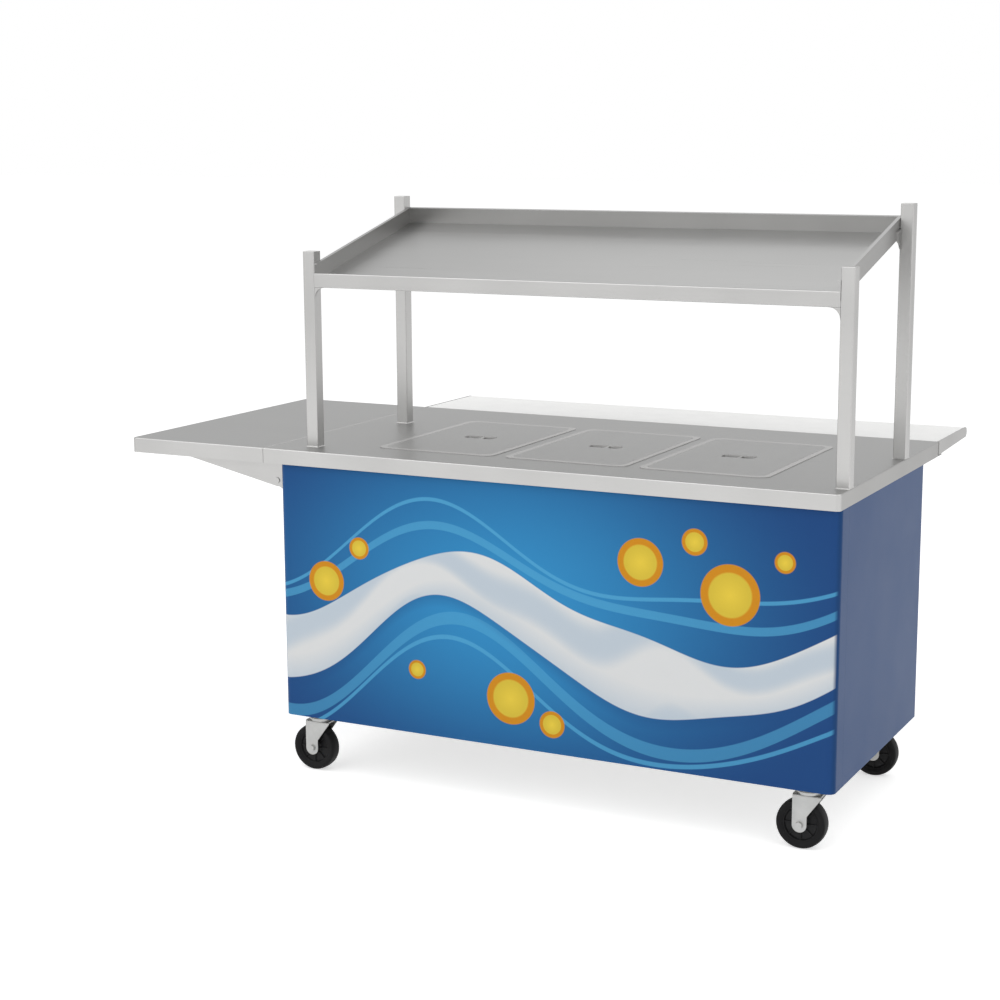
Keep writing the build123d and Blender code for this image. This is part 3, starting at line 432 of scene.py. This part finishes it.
def echoes(tree, along, above, colour):
    """Lays thin lines that follow the white band over a colour."""
    for lift, swing, half, strength in ECHOES:
        line = wave(tree, along, lift, ((swing, ECHO_SPAN, ECHO_CREST + 2 * lift),))
        mask = band(tree, math(tree, "SUBTRACT", above, line), half, pattern().edge)
        colour = mix(tree, math(tree, "MULTIPLY", mask, strength), colour, finish().blue_echo)
    return colour


# Cosines as (swing, length, crest): a ripple of the white band, its swelling width and the drift of its folds
BAND_RIPPLE = (0.022, 0.71, 0.62)
BAND_SWELLS = ((0.020, 1.05, 0.42), (0.008, 0.43, 0.1))
FOLD_DRIFT = ((1.5, 0.83, 0.2), (0.7, 0.37, 0.05))
FOLD_TURNS = 2.4
FOLD_STRENGTH = 0.55
UNDERSIDE_STRENGTH = 0.45
SHADOW_DROP = 0.014
SHADOW_SOFT = 0.02
SHADOW_STRENGTH = 0.45


def ribbon(tree, along, above, colour):
    """Lays the white band, with its shadow and soft folds, over a colour."""
    look = finish()
    half = wave(tree, along, pattern().half_width, BAND_SWELLS)
    shadow = band(tree, math(tree, "ADD", above, SHADOW_DROP), half, SHADOW_SOFT)
    colour = mix(tree, math(tree, "MULTIPLY", shadow, SHADOW_STRENGTH), colour, look.blue_deep)
    across = math(tree, "DIVIDE", above, half)
    drift = wave(tree, along, 0.0, FOLD_DRIFT)
    fold = math(tree, "SINE", math(tree, "ADD", math(tree, "MULTIPLY", across, FOLD_TURNS), drift))
    dip = spread(tree, fold, 0.0, 1.0, from_low=-0.2, smooth=True)
    under = spread(tree, across, UNDERSIDE_STRENGTH, 0.0, from_low=-1.0, from_high=-0.25)
    shade = math(tree, "MAXIMUM", math(tree, "MULTIPLY", dip, FOLD_STRENGTH), under)
    satin = mix(tree, shade, look.ribbon, look.ribbon_shade)
    return mix(tree, band(tree, above, half, pattern().edge), colour, satin)


# Discs as (x, z, radius), behind the white band and before it
DISCS_BEHIND = ((0.52, 0.700, 0.062), (0.665, 0.765, 0.034), (-0.30, 0.660, 0.030))
DISCS_BEFORE = ((0.76, 0.640, 0.078), (-0.405, 0.560, 0.055), (0.155, 0.300, 0.070), (0.275, 0.245, 0.036),
                (-0.125, 0.345, 0.026), (0.900, 0.735, 0.027))
# Shares of a disc's radius: reach of its bright middle, and where its rim begins and is full
DISC_MIDDLE = 0.62
DISC_RIM = (0.70, 0.76)
DISC_LIFT = 1.18


def discs(tree, flat, colour, places):
    """Lays two-tone discs over a colour."""
    look = finish()
    soft = pattern().edge
    bright = [min(1, DISC_LIFT * c) for c in look.yellow]
    for x, z, radius in places:
        out = distance_from(tree, flat, (x, 0, z))
        face = mix(tree, spread(tree, out, 0.0, 1.0, 0.0, DISC_MIDDLE * radius), bright, look.yellow)
        rim = spread(tree, out, 0.0, 1.0, DISC_RIM[0] * radius, DISC_RIM[1] * radius)
        edge = spread(tree, out, 1.0, 0.0, radius - soft, radius + soft)
        colour = mix(tree, edge, colour, mix(tree, rim, face, look.amber))
    return colour


# Distances from the panel's ends at which the print begins to give way to the end panels' blue, and has done so
PRINT_FADE = (0.010, 0.003)


def printed_film(name):
    """The front panel's print: a blue glow, a flowing white band with soft folds, echoes and discs."""
    design = pattern()
    low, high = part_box("front_panel")
    material, tree, shader = film(name)
    x, _, z = axes(tree, "Object")
    flat = tree.nodes.new("ShaderNodeCombineXYZ")
    tree.links.new(x, flat.inputs["X"])
    tree.links.new(z, flat.inputs["Z"])
    line = wave(tree, x, design.level, ((design.swing, design.wave, design.crest), BAND_RIPPLE))
    above = math(tree, "SUBTRACT", z, line)

    colour = echoes(tree, x, above, glow(tree, low, high))
    colour = discs(tree, flat.outputs[0], colour, DISCS_BEHIND)
    colour = ribbon(tree, x, above, colour)
    colour = discs(tree, flat.outputs[0], colour, DISCS_BEFORE)

    middle = (low[0] + high[0]) / 2
    reach = high[0] - middle
    side = math(tree, "ABSOLUTE", math(tree, "SUBTRACT", x, middle))
    end = spread(tree, side, 0.0, 1.0, reach - PRINT_FADE[0], reach - PRINT_FADE[1])
    back_with_steel(tree, shader, mix(tree, end, colour, finish().blue_end))
    return material


def dress(names, material):
    """Gives CAD nodes a finish."""
    for name in names:
        slots = NODES[name].data.materials
        slots.clear()
        slots.append(material)


SHARP_ANGLE = radians(32)


def piece(name, mesh, body, material):
    """Makes a finished object of a mesh and lets it ride on a body."""
    bmesh.ops.recalc_face_normals(mesh, faces=mesh.faces)
    for face in mesh.faces:
        face.smooth = True
    data = bpy.data.meshes.new(name)
    mesh.to_mesh(data)
    mesh.free()
    data.set_sharp_from_angle(angle=SHARP_ANGLE)
    data.materials.append(material)
    made = bpy.data.objects.new(name, data)
    bpy.context.scene.collection.objects.link(made)
    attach(made, body)
    return made


def bar(mesh, size, place_at, turn=None, soften=0.0004):
    """Adds a bar with softened edges."""
    matrix = Matrix.Translation(place_at) @ (turn or Matrix()) @ Matrix.Diagonal((*size, 1))
    made = bmesh.ops.create_cube(mesh, size=1, matrix=matrix)
    edges = list({edge for vert in made["verts"] for edge in vert.link_edges})
    bmesh.ops.bevel(mesh, geom=edges, offset=soften, segments=2, profile=0.5, affect="EDGES", material=-1)


def nearest(faces, spot):
    """The face whose middle is nearest to a spot."""
    return min(faces, key=lambda face: (face.calc_center_median() - spot).length)


# Shares of a fastener head's radius, and of its height for the depth of its sunk top
HEAD_TAPER = 0.8
HEAD_ROUND = 0.12
HEAD_LAND = 0.3
SINK_WALL = 0.05
SINK_DEPTH = 0.35


def head(mesh, at, facing, radius, height, sides=20):
    """Adds a fastener's head: a low tapered button or hexagon with a sunk top."""
    out = Vector(facing)
    crown = Vector(at) + out * height
    turn = out.to_track_quat("Z", "Y").to_matrix().to_4x4()
    matrix = Matrix.Translation(Vector(at) + out * height / 2) @ turn
    made = bmesh.ops.create_cone(mesh, cap_ends=True, segments=sides, radius1=radius, radius2=HEAD_TAPER * radius,
                                 depth=height, matrix=matrix)
    top = nearest({face for vert in made["verts"] for face in vert.link_faces}, crown)
    bmesh.ops.bevel(mesh, geom=list(top.edges), offset=HEAD_ROUND * radius, segments=2, profile=0.5,
                    affect="EDGES", material=-1)
    top = nearest([face for face in mesh.faces if len(face.verts) == sides], crown)
    bmesh.ops.inset_region(mesh, faces=[top], thickness=HEAD_LAND * radius, depth=0)
    bmesh.ops.inset_region(mesh, faces=[top], thickness=SINK_WALL * radius, depth=-SINK_DEPTH * height)


def spaced(start, end, margin, count):
    """Evenly spaced places between two ends, each end kept clear by a margin."""
    return [start + margin + step * (end - start - 2 * margin) / (count - 1) for step in range(count)]


def turned(section, soften, steps=64):
    """Turns a section round the Y axis, with its corners rounded first.

    The section is one half, as (radius, y) points, and is mirrored in y to close it.
    """
    mesh = bmesh.new()
    outline = section + [(radius, -y) for radius, y in reversed(section)]
    points = [mesh.verts.new((radius, y, 0)) for radius, y in outline]
    for first, second in zip(points, points[1:] + points[:1]):
        mesh.edges.new((first, second))
    bmesh.ops.bevel(mesh, geom=points, offset=soften, segments=3, profile=0.5, affect="VERTICES", material=-1)
    bmesh.ops.spin(mesh, geom=mesh.verts[:] + mesh.edges[:], cent=(0, 0, 0), axis=(0, 1, 0), angle=2 * pi,
                   steps=steps, use_merge=True)
    return mesh


class CART_OT_sheet_metal(Operator):
    """Finish the counter, end shelf, wells and inner sheet metal"""

    bl_idname = "cart.sheet_metal"
    bl_label = "Sheet metal"

    def execute(self, context):
        look = finish()
        counter = satin_steel("counter_steel", look.steel, "X", painted_top_tone=look.painted_top_tone, graze=0.55)
        dress(["counter_top", "end_shelf"], counter)
        lids = satin_steel("cover_steel", look.steel, "Y", painted_top_tone=look.painted_top_tone, graze=0.55)
        dress([f"well_cover_{i}" for i in WELLS], lids)
        drawn = satin_steel("liner_steel", look.steel, "Z", roughness=0.38, graze=0.75, metal=0.7)
        dress([f"well_liner_{i}" for i in WELLS], drawn)
        inner = satin_steel("cabinet_steel", look.steel, "X", roughness=0.4, metal=0.6)
        dress(["cabinet_floor", "cabinet_shelf", "control_console"], inner)
        dress(["well_housing", "base_frame", "upper_frame", "heating_elements"],
              spangled_steel("galvanised_steel", look.galvanised))
        return {"FINISHED"}


RIVETS = 5
RIVET_INSET = 0.033
RIVET_MARGIN = 0.06
RIVET_RISE = 0.0016


class CART_OT_panels(Operator):
    """Finish the body panels and rivet them at the back"""

    bl_idname = "cart.panels"
    bl_label = "Body panels"

    def execute(self, context):
        dress(END_PANELS, plain_film("blue_film", finish().blue_end))
        dress(["front_panel"], printed_film("printed_film"))
        self.rivets(context.scene.cart_hardware.rivet)
        return {"FINISHED"}

    def rivets(self, radius):
        mesh = bmesh.new()
        for name in END_PANELS:
            low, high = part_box(name)
            x = low[0] + RIVET_INSET if name.startswith("left") else high[0] - RIVET_INSET
            for z in spaced(low[2], high[2], RIVET_MARGIN, RIVETS):
                head(mesh, (x, high[1], z), (0, 1, 0), radius, RIVET_RISE)
        zinc = plated_steel("rivet_steel", finish().zinc, 0.42)
        piece("panel_rivets", mesh, "cart", zinc)


# Gap kept between the welds and the counter's rim
WELD_TRIM = 0.0004


class CART_OT_posts_and_tray(Operator):
    """Finish the posts and the display tray, and weld the posts' feet"""

    bl_idname = "cart.posts_and_tray"
    bl_label = "Posts and tray"

    def execute(self, context):
        look = finish()
        upright = satin_steel("post_steel", look.steel, "Z", graze=0.82)
        dress([f"post_{side}" for side in CORNERS] + ["post_caps"], upright)
        tray = satin_steel("tray_steel", look.steel, "X", painted_top_tone=look.painted_top_tone, graze=0.55)
        dress(["display_tray", "tray_gussets"], tray)
        self.welds(context.scene.cart_hardware.weld)
        return {"FINISHED"}

    def welds(self, leg):
        mesh = bmesh.new()
        diagonal = Matrix.Rotation(pi / 4, 4, "Z")
        for side in CORNERS:
            low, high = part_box(f"post_{side}")
            foot = (high[0] - low[0]) / 2
            middle = Vector(((low[0] + high[0]) / 2, (low[1] + high[1]) / 2, low[2] + leg / 2))
            bmesh.ops.create_cone(mesh, cap_ends=True, segments=4, radius1=(foot + leg) * sqrt(2),
                                  radius2=foot * sqrt(2), depth=leg, matrix=Matrix.Translation(middle) @ diagonal)
        edges = [edge for edge in mesh.edges if abs(edge.verts[0].co.z - edge.verts[1].co.z) > leg / 2]
        bmesh.ops.bevel(mesh, geom=edges, offset=leg, segments=3, profile=0.5, affect="EDGES", material=-1)
        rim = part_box("counter_top")[1][0] - WELD_TRIM
        bmesh.ops.bisect_plane(mesh, geom=mesh.verts[:] + mesh.edges[:] + mesh.faces[:], plane_co=(rim, 0, 0),
                               plane_no=(1, 0, 0), clear_outer=True)
        bmesh.ops.holes_fill(mesh, edges=[edge for edge in mesh.edges if edge.is_boundary])
        piece("post_welds", mesh, "cart", plated_steel("weld_steel", finish().steel, 0.45))


class CART_OT_drop_leaves(Operator):
    """Finish the hinges, arms and work shelf"""

    bl_idname = "cart.drop_leaves"
    bl_label = "Drop leaves"

    def execute(self, context):
        look = finish()
        steel = satin_steel("leaf_steel", look.steel, "X", graze=0.7)
        leaves = [f"{leaf}_shelf_hinge_{part}" for leaf in ("end", "work") for part in ("leaf", "pin")]
        arms = ["end_shelf_arm_front", "end_shelf_arm_rear", "work_shelf_arm_left", "work_shelf_arm_right"]
        brackets = ["end_shelf_arm_brackets", "work_shelf_arm_brackets", "arm_pins"]
        dress(leaves + arms + brackets + ["work_shelf_frame"], steel)
        dress(["work_board"], moulded("board_plastic", look.board, 0.5, grain=500.0, cloud=0.02))
        return {"FINISHED"}


# Tyre: its inner edges tuck in, its side walls run from foot to top, and round shoulders lead to a flat crown
TYRE_TUCK = 0.003
WALL_FOOT = 0.008
WALL_TOP = 0.0045
SHOULDER_DROP = 0.0012
SHOULDER_INSET = 0.0035
CROWN_SHARE = 0.3
TYRE_ROUND = 0.0012
# Core: hub, sunk web, and a rim that holds the tyre
HUB_END = 0.0145
HUB_FOOT = 0.0165
HUB_FLARE = 0.002
WEB_START = 0.020
WEB_SINK = 0.0105
WEB_MARGIN = 0.005
RIM_DROP = 0.002
RIM_INSET = 0.0045
BEAD_RISE = 0.0005
BEAD_INSET = 0.0038
CORE_ROUND = 0.0008
# Ribs on both faces of the web, from the hub's foot to just short of the seat
RIB_START = 0.016
RIB_STOP = 0.001
RIB_LIFT = 0.001
RIB_SECTION = (0.0042, 0.0032)
# Caster plates and their bolts
PLATE = (0.100, 0.085)
PLATE_SHEET = 0.004
BOLT_PITCH = (0.076, 0.061)
BOLT_RISE = 0.0055
HEXAGON = 6


class CART_OT_casters(Operator):
    """Finish the casters, turn their wheels and bolt their plates"""

    bl_idname = "cart.casters"
    bl_label = "Casters"

    def execute(self, context):
        look = finish()
        sizes = context.scene.cart_hardware
        zinc = plated_steel("caster_zinc", look.zinc)
        dress(["caster_plates"] + [f"caster_{part}_{side}" for part in ("fork", "axle") for side in CORNERS], zinc)
        rubber = moulded("tyre_rubber", look.rubber, 0.55, grain=700.0, gloss=0.16)
        core = moulded("core_plastic", look.core, 0.45, grain=500.0, gloss=0.2)
        for side in CORNERS:
            self.wheel(side, sizes, rubber, core)
        self.bolts(sizes.bolt, zinc)
        return {"FINISHED"}

    def wheel(self, side, sizes, rubber, core):
        low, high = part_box(f"caster_wheel_{side}")
        middle = Vector([(a + b) / 2 for a, b in zip(low, high)])
        radius = (high[2] - low[2]) / 2
        seat = radius - sizes.tyre_depth
        tread = self.tread(radius, seat, sizes.tyre_width / 2)
        centre = self.centre(seat, sizes.tyre_width / 2, (high[1] - low[1]) / 2, sizes)
        for mesh in (tread, centre):
            bmesh.ops.translate(mesh, verts=mesh.verts, vec=middle)
        tyre = piece(f"tyre_{side}", tread, f"wheel_{side}", rubber)
        boss = piece(f"wheel_core_{side}", centre, f"wheel_{side}", core)
        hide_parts(f"caster_wheel_{side}")
        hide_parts(f"caster_wheel_{side}")

    def tread(self, radius, seat, half):
        """Tyre with straight side walls, round shoulders and a flat crown."""
        return turned([
            (seat, TYRE_TUCK - half),
            (seat + WALL_FOOT, -half),
            (radius - WALL_TOP, -half),
            (radius - SHOULDER_DROP, SHOULDER_INSET - half),
            (radius, -half * CROWN_SHARE),
        ], TYRE_ROUND)

    def centre(self, seat, half, hub, sizes):
        """Wheel's core: a hub, a ribbed web and a rim under the tyre."""
        web = half - WEB_SINK
        mesh = turned([
            (sizes.bore, -hub),
            (HUB_END, -hub),
            (HUB_FOOT, -web - HUB_FLARE),
            (WEB_START, -web),
            (seat - WEB_MARGIN, -web),
            (seat - RIM_DROP, RIM_INSET - half),
            (seat + BEAD_RISE, BEAD_INSET - half),
        ], CORE_ROUND)
        stop = seat - RIB_STOP
        for step in range(sizes.ribs):
            turn = Matrix.Rotation(2 * pi * step / sizes.ribs, 4, "Y")
            for face in (-1, 1):
                spot = turn @ Vector(((RIB_START + stop) / 2, face * (web + RIB_LIFT), 0))
                bar(mesh, (stop - RIB_START, *RIB_SECTION), spot, turn)
        return mesh

    def bolts(self, radius, zinc):
        mesh = bmesh.new()
        low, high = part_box("caster_plates")
        plates = [(low[axis] + PLATE[axis] / 2, high[axis] - PLATE[axis] / 2) for axis in (0, 1)]
        holes = [(-BOLT_PITCH[axis] / 2, BOLT_PITCH[axis] / 2) for axis in (0, 1)]
        for x, y, dx, dy in product(*plates, *holes):
            head(mesh, (x + dx, y + dy, high[2] - PLATE_SHEET), (0, 0, -1), radius, BOLT_RISE, HEXAGON)
        piece("caster_bolts", mesh, "cart", zinc)


# Marks round a knob, in degrees from the top; every fifth is long
MARKS = 11
MARK_STEP = -27
LONG_MARK = 0.006
SHORT_MARK = 0.004
MARK_WIDTH = 0.0012
MARK_DEPTH = 0.0004
MARK_LIFT = 0.0001
MARK_ROUND = 0.0001
POINTER = (0.0016, 0.0006, 0.012)
POINTER_RISE = 0.0105
POINTER_ROUND = 0.0002
# Screws along the console's top and bottom edges, and smaller ones beside the power inlet
SCREWS = 6
SCREW_MARGIN = 0.018
SCREW_INSET = 0.009
SCREW_RISE = 0.0022
INLET_SHARE = 0.8
INLET_INSET = 0.0045
INLET_RISE = 0.0018


class CART_OT_console(Operator):
    """Finish the knobs, lamps, inlet and drain, and mark the dials"""

    bl_idname = "cart.console"
    bl_label = "Console and drain"

    def execute(self, context):
        look = finish()
        sizes = context.scene.cart_hardware
        black = moulded("knob_plastic", look.black, 0.42)
        knobs = [f"control_knob_{i}" for i in WELLS]
        dress(knobs + ["power_inlet"], black)
        dress(["pilot_lamps"], moulded("lamp_lens", look.amber, 0.15, grain=60.0, depth=0.00005))
        dress(["drain_valve", "drain_manifold"], plated_steel("drain_brass", look.brass, 0.35))
        low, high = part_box("drain_valve")
        stem = [(a + b) / 2 for a, b in zip(low[:2], high[:2])]
        dress(["drain_lever"], sleeved_lever("lever_sleeve", look.red, look.zinc, stem, sizes.bare_lever))
        self.dials(knobs, sizes.dial, black)
        self.screws(sizes.screw, plated_steel("screw_steel", look.zinc, 0.3))
        return {"FINISHED"}

    def dials(self, knobs, radius, black):
        console_low, console_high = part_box("control_console")
        face = console_high[1]
        z = (console_low[2] + console_high[2]) / 2
        marks = bmesh.new()
        white = moulded("pointer_paint", finish().pointer, 0.45)
        for index, name in enumerate(knobs, 1):
            low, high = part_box(name)
            x = (low[0] + high[0]) / 2
            for step in range(MARKS):
                turn = Matrix.Rotation(radians(MARK_STEP * step), 4, "Y")
                tall = LONG_MARK if step % 5 == 0 else SHORT_MARK
                spot = Vector((x, face + MARK_LIFT, z)) + turn @ Vector((0, 0, radius + tall / 2))
                bar(marks, (MARK_WIDTH, MARK_DEPTH, tall), spot, turn, MARK_ROUND)
            pointer = bmesh.new()
            bar(pointer, POINTER, (x, high[1], z + POINTER_RISE), soften=POINTER_ROUND)
            piece(f"knob_pointer_{index}", pointer, f"knob_{index}", white)
        piece("dial_marks", marks, "cart", black)

    def screws(self, radius, steel):
        mesh = bmesh.new()
        low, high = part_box("control_console")
        for x in spaced(low[0], high[0], SCREW_MARGIN, SCREWS):
            for z in (low[2] + SCREW_INSET, high[2] - SCREW_INSET):
                head(mesh, (x, high[1], z), (0, 1, 0), radius, SCREW_RISE)
        low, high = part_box("power_inlet")
        for x in (low[0] + INLET_INSET, high[0] - INLET_INSET):
            head(mesh, (x, high[1], (low[2] + high[2]) / 2), (0, 1, 0), INLET_SHARE * radius, INLET_RISE)
        piece("console_screws", mesh, "cart", steel)


WHITE = (1, 1, 1, 1)
FLOOR_REACH = 60
# Area lamps: name, place, aim, size and power
LAMPS = (
    ("key", (-2.6, -4.6, 5.4), (0, 0, 0.7), 8.0, 182),
    ("fill", (4.8, -1.6, 4.2), (0.3, 0, 0.7), 6.0, 64),
    ("top", (0.4, 0.6, 5.6), (0.2, -0.1, 0.9), 9.0, 95),
)
SENSOR_WIDTH = 36
CLIP_END = 300


class CART_OT_stage(Operator):
    """Set up the floor, light and camera"""

    bl_idname = "cart.stage"
    bl_label = "Stage"

    def execute(self, context):
        scene = context.scene
        settings = scene.cart_stage
        scene.view_settings.view_transform = "Standard"
        self.floor(scene, settings)
        self.sky(scene, settings)
        self.lamps(scene)
        self.camera(scene, settings)
        return {"FINISHED"}

    def seen(self, tree):
        """One where a ray shows the background: to the camera, in gloss or through glass."""
        path = tree.nodes.new("ShaderNodeLightPath")
        first = math(tree, "ADD", path.outputs["Is Camera Ray"], path.outputs["Is Glossy Ray"], clamp=True)
        return math(tree, "ADD", first, path.outputs["Is Transmission Ray"], clamp=True)

    def floor(self, scene, settings):
        mesh = bmesh.new()
        bmesh.ops.create_grid(mesh, x_segments=1, y_segments=1, size=FLOOR_REACH)
        data = bpy.data.meshes.new("studio_floor")
        mesh.to_mesh(data)
        mesh.free()
        floor = bpy.data.objects.new("studio_floor", data)
        scene.collection.objects.link(floor)
        material, tree, shader = new_material("studio_floor")
        shader.inputs["Base Color"].default_value = (*settings.floor, 1)
        shader.inputs["Roughness"].default_value = 0.95
        shader.inputs["Specular IOR Level"].default_value = 0.0
        shader.inputs["Emission Color"].default_value = WHITE
        tree.links.new(spread(tree, self.seen(tree), 0.0, settings.haze), shader.inputs["Emission Strength"])
        data.materials.append(material)

    def sky(self, scene, settings):
        world = bpy.data.worlds.new("studio")
        world.use_nodes = True
        tree = world.node_tree
        background = tree.nodes["Background"]
        background.inputs["Color"].default_value = WHITE
        tree.links.new(spread(tree, self.seen(tree), settings.sky, 1.0), background.inputs["Strength"])
        scene.world = world

    def lamps(self, scene):
        for name, place_at, aim, size, power in LAMPS:
            light = bpy.data.lights.new(name, "AREA")
            light.energy = power
            light.size = size
            lamp = bpy.data.objects.new(name, light)
            lamp.visible_camera = False
            scene.collection.objects.link(lamp)
            lamp.location = place_at
            lamp.rotation_euler = (Vector(aim) - Vector(place_at)).to_track_quat("-Z", "Y").to_euler()

    def camera(self, scene, settings):
        data = bpy.data.cameras.new("camera")
        data.lens = settings.lens
        data.sensor_width = SENSOR_WIDTH
        data.shift_x = settings.shift
        data.clip_end = CLIP_END
        camera = bpy.data.objects.new("camera", data)
        scene.collection.objects.link(camera)
        away = Vector((sin(settings.turn) * cos(settings.rise), -cos(settings.turn) * cos(settings.rise),
                       sin(settings.rise)))
        right = Vector((0, 0, 1)).cross(away).normalized()
        up = away.cross(right)
        across = right * cos(settings.roll) + up * sin(settings.roll)
        upright = up * cos(settings.roll) - right * sin(settings.roll)
        matrix = Matrix((across, upright, away)).transposed().to_4x4()
        matrix.translation = Vector(settings.target) + away * settings.distance
        camera.matrix_world = matrix
        scene.camera = camera


OPERATORS = (CART_OT_sheet_metal, CART_OT_panels, CART_OT_posts_and_tray, CART_OT_drop_leaves, CART_OT_casters,
             CART_OT_console, CART_OT_stage)


class CART_PT_panel(Panel):
    """Sidebar list of the cart's pieces"""

    bl_idname = "CART_PT_panel"
    bl_label = "Hot Well Cart"
    bl_space_type = "VIEW_3D"
    bl_region_type = "UI"
    bl_category = "Cart"

    def draw(self, context):
        for operator in OPERATORS:
            self.layout.operator(operator.bl_idname)


GROUPS = {"cart_finishes": CartFinishes, "cart_print": CartPrint, "cart_hardware": CartHardware,
          "cart_stage": CartStage}
CLASSES = (*GROUPS.values(), *OPERATORS, CART_PT_panel)


def register():
    for entry in CLASSES:
        bpy.utils.register_class(entry)
    for name, settings in GROUPS.items():
        setattr(bpy.types.Scene, name, PointerProperty(type=settings))


def unregister():
    for name in GROUPS:
        delattr(bpy.types.Scene, name)
    for entry in reversed(CLASSES):
        bpy.utils.unregister_class(entry)


def main():
    register()
    bpy.ops.cart.sheet_metal()
    bpy.ops.cart.panels()
    bpy.ops.cart.posts_and_tray()
    bpy.ops.cart.drop_leaves()
    bpy.ops.cart.casters()
    bpy.ops.cart.console()
    bpy.ops.cart.stage()


if __name__ == "__main__":
    main()
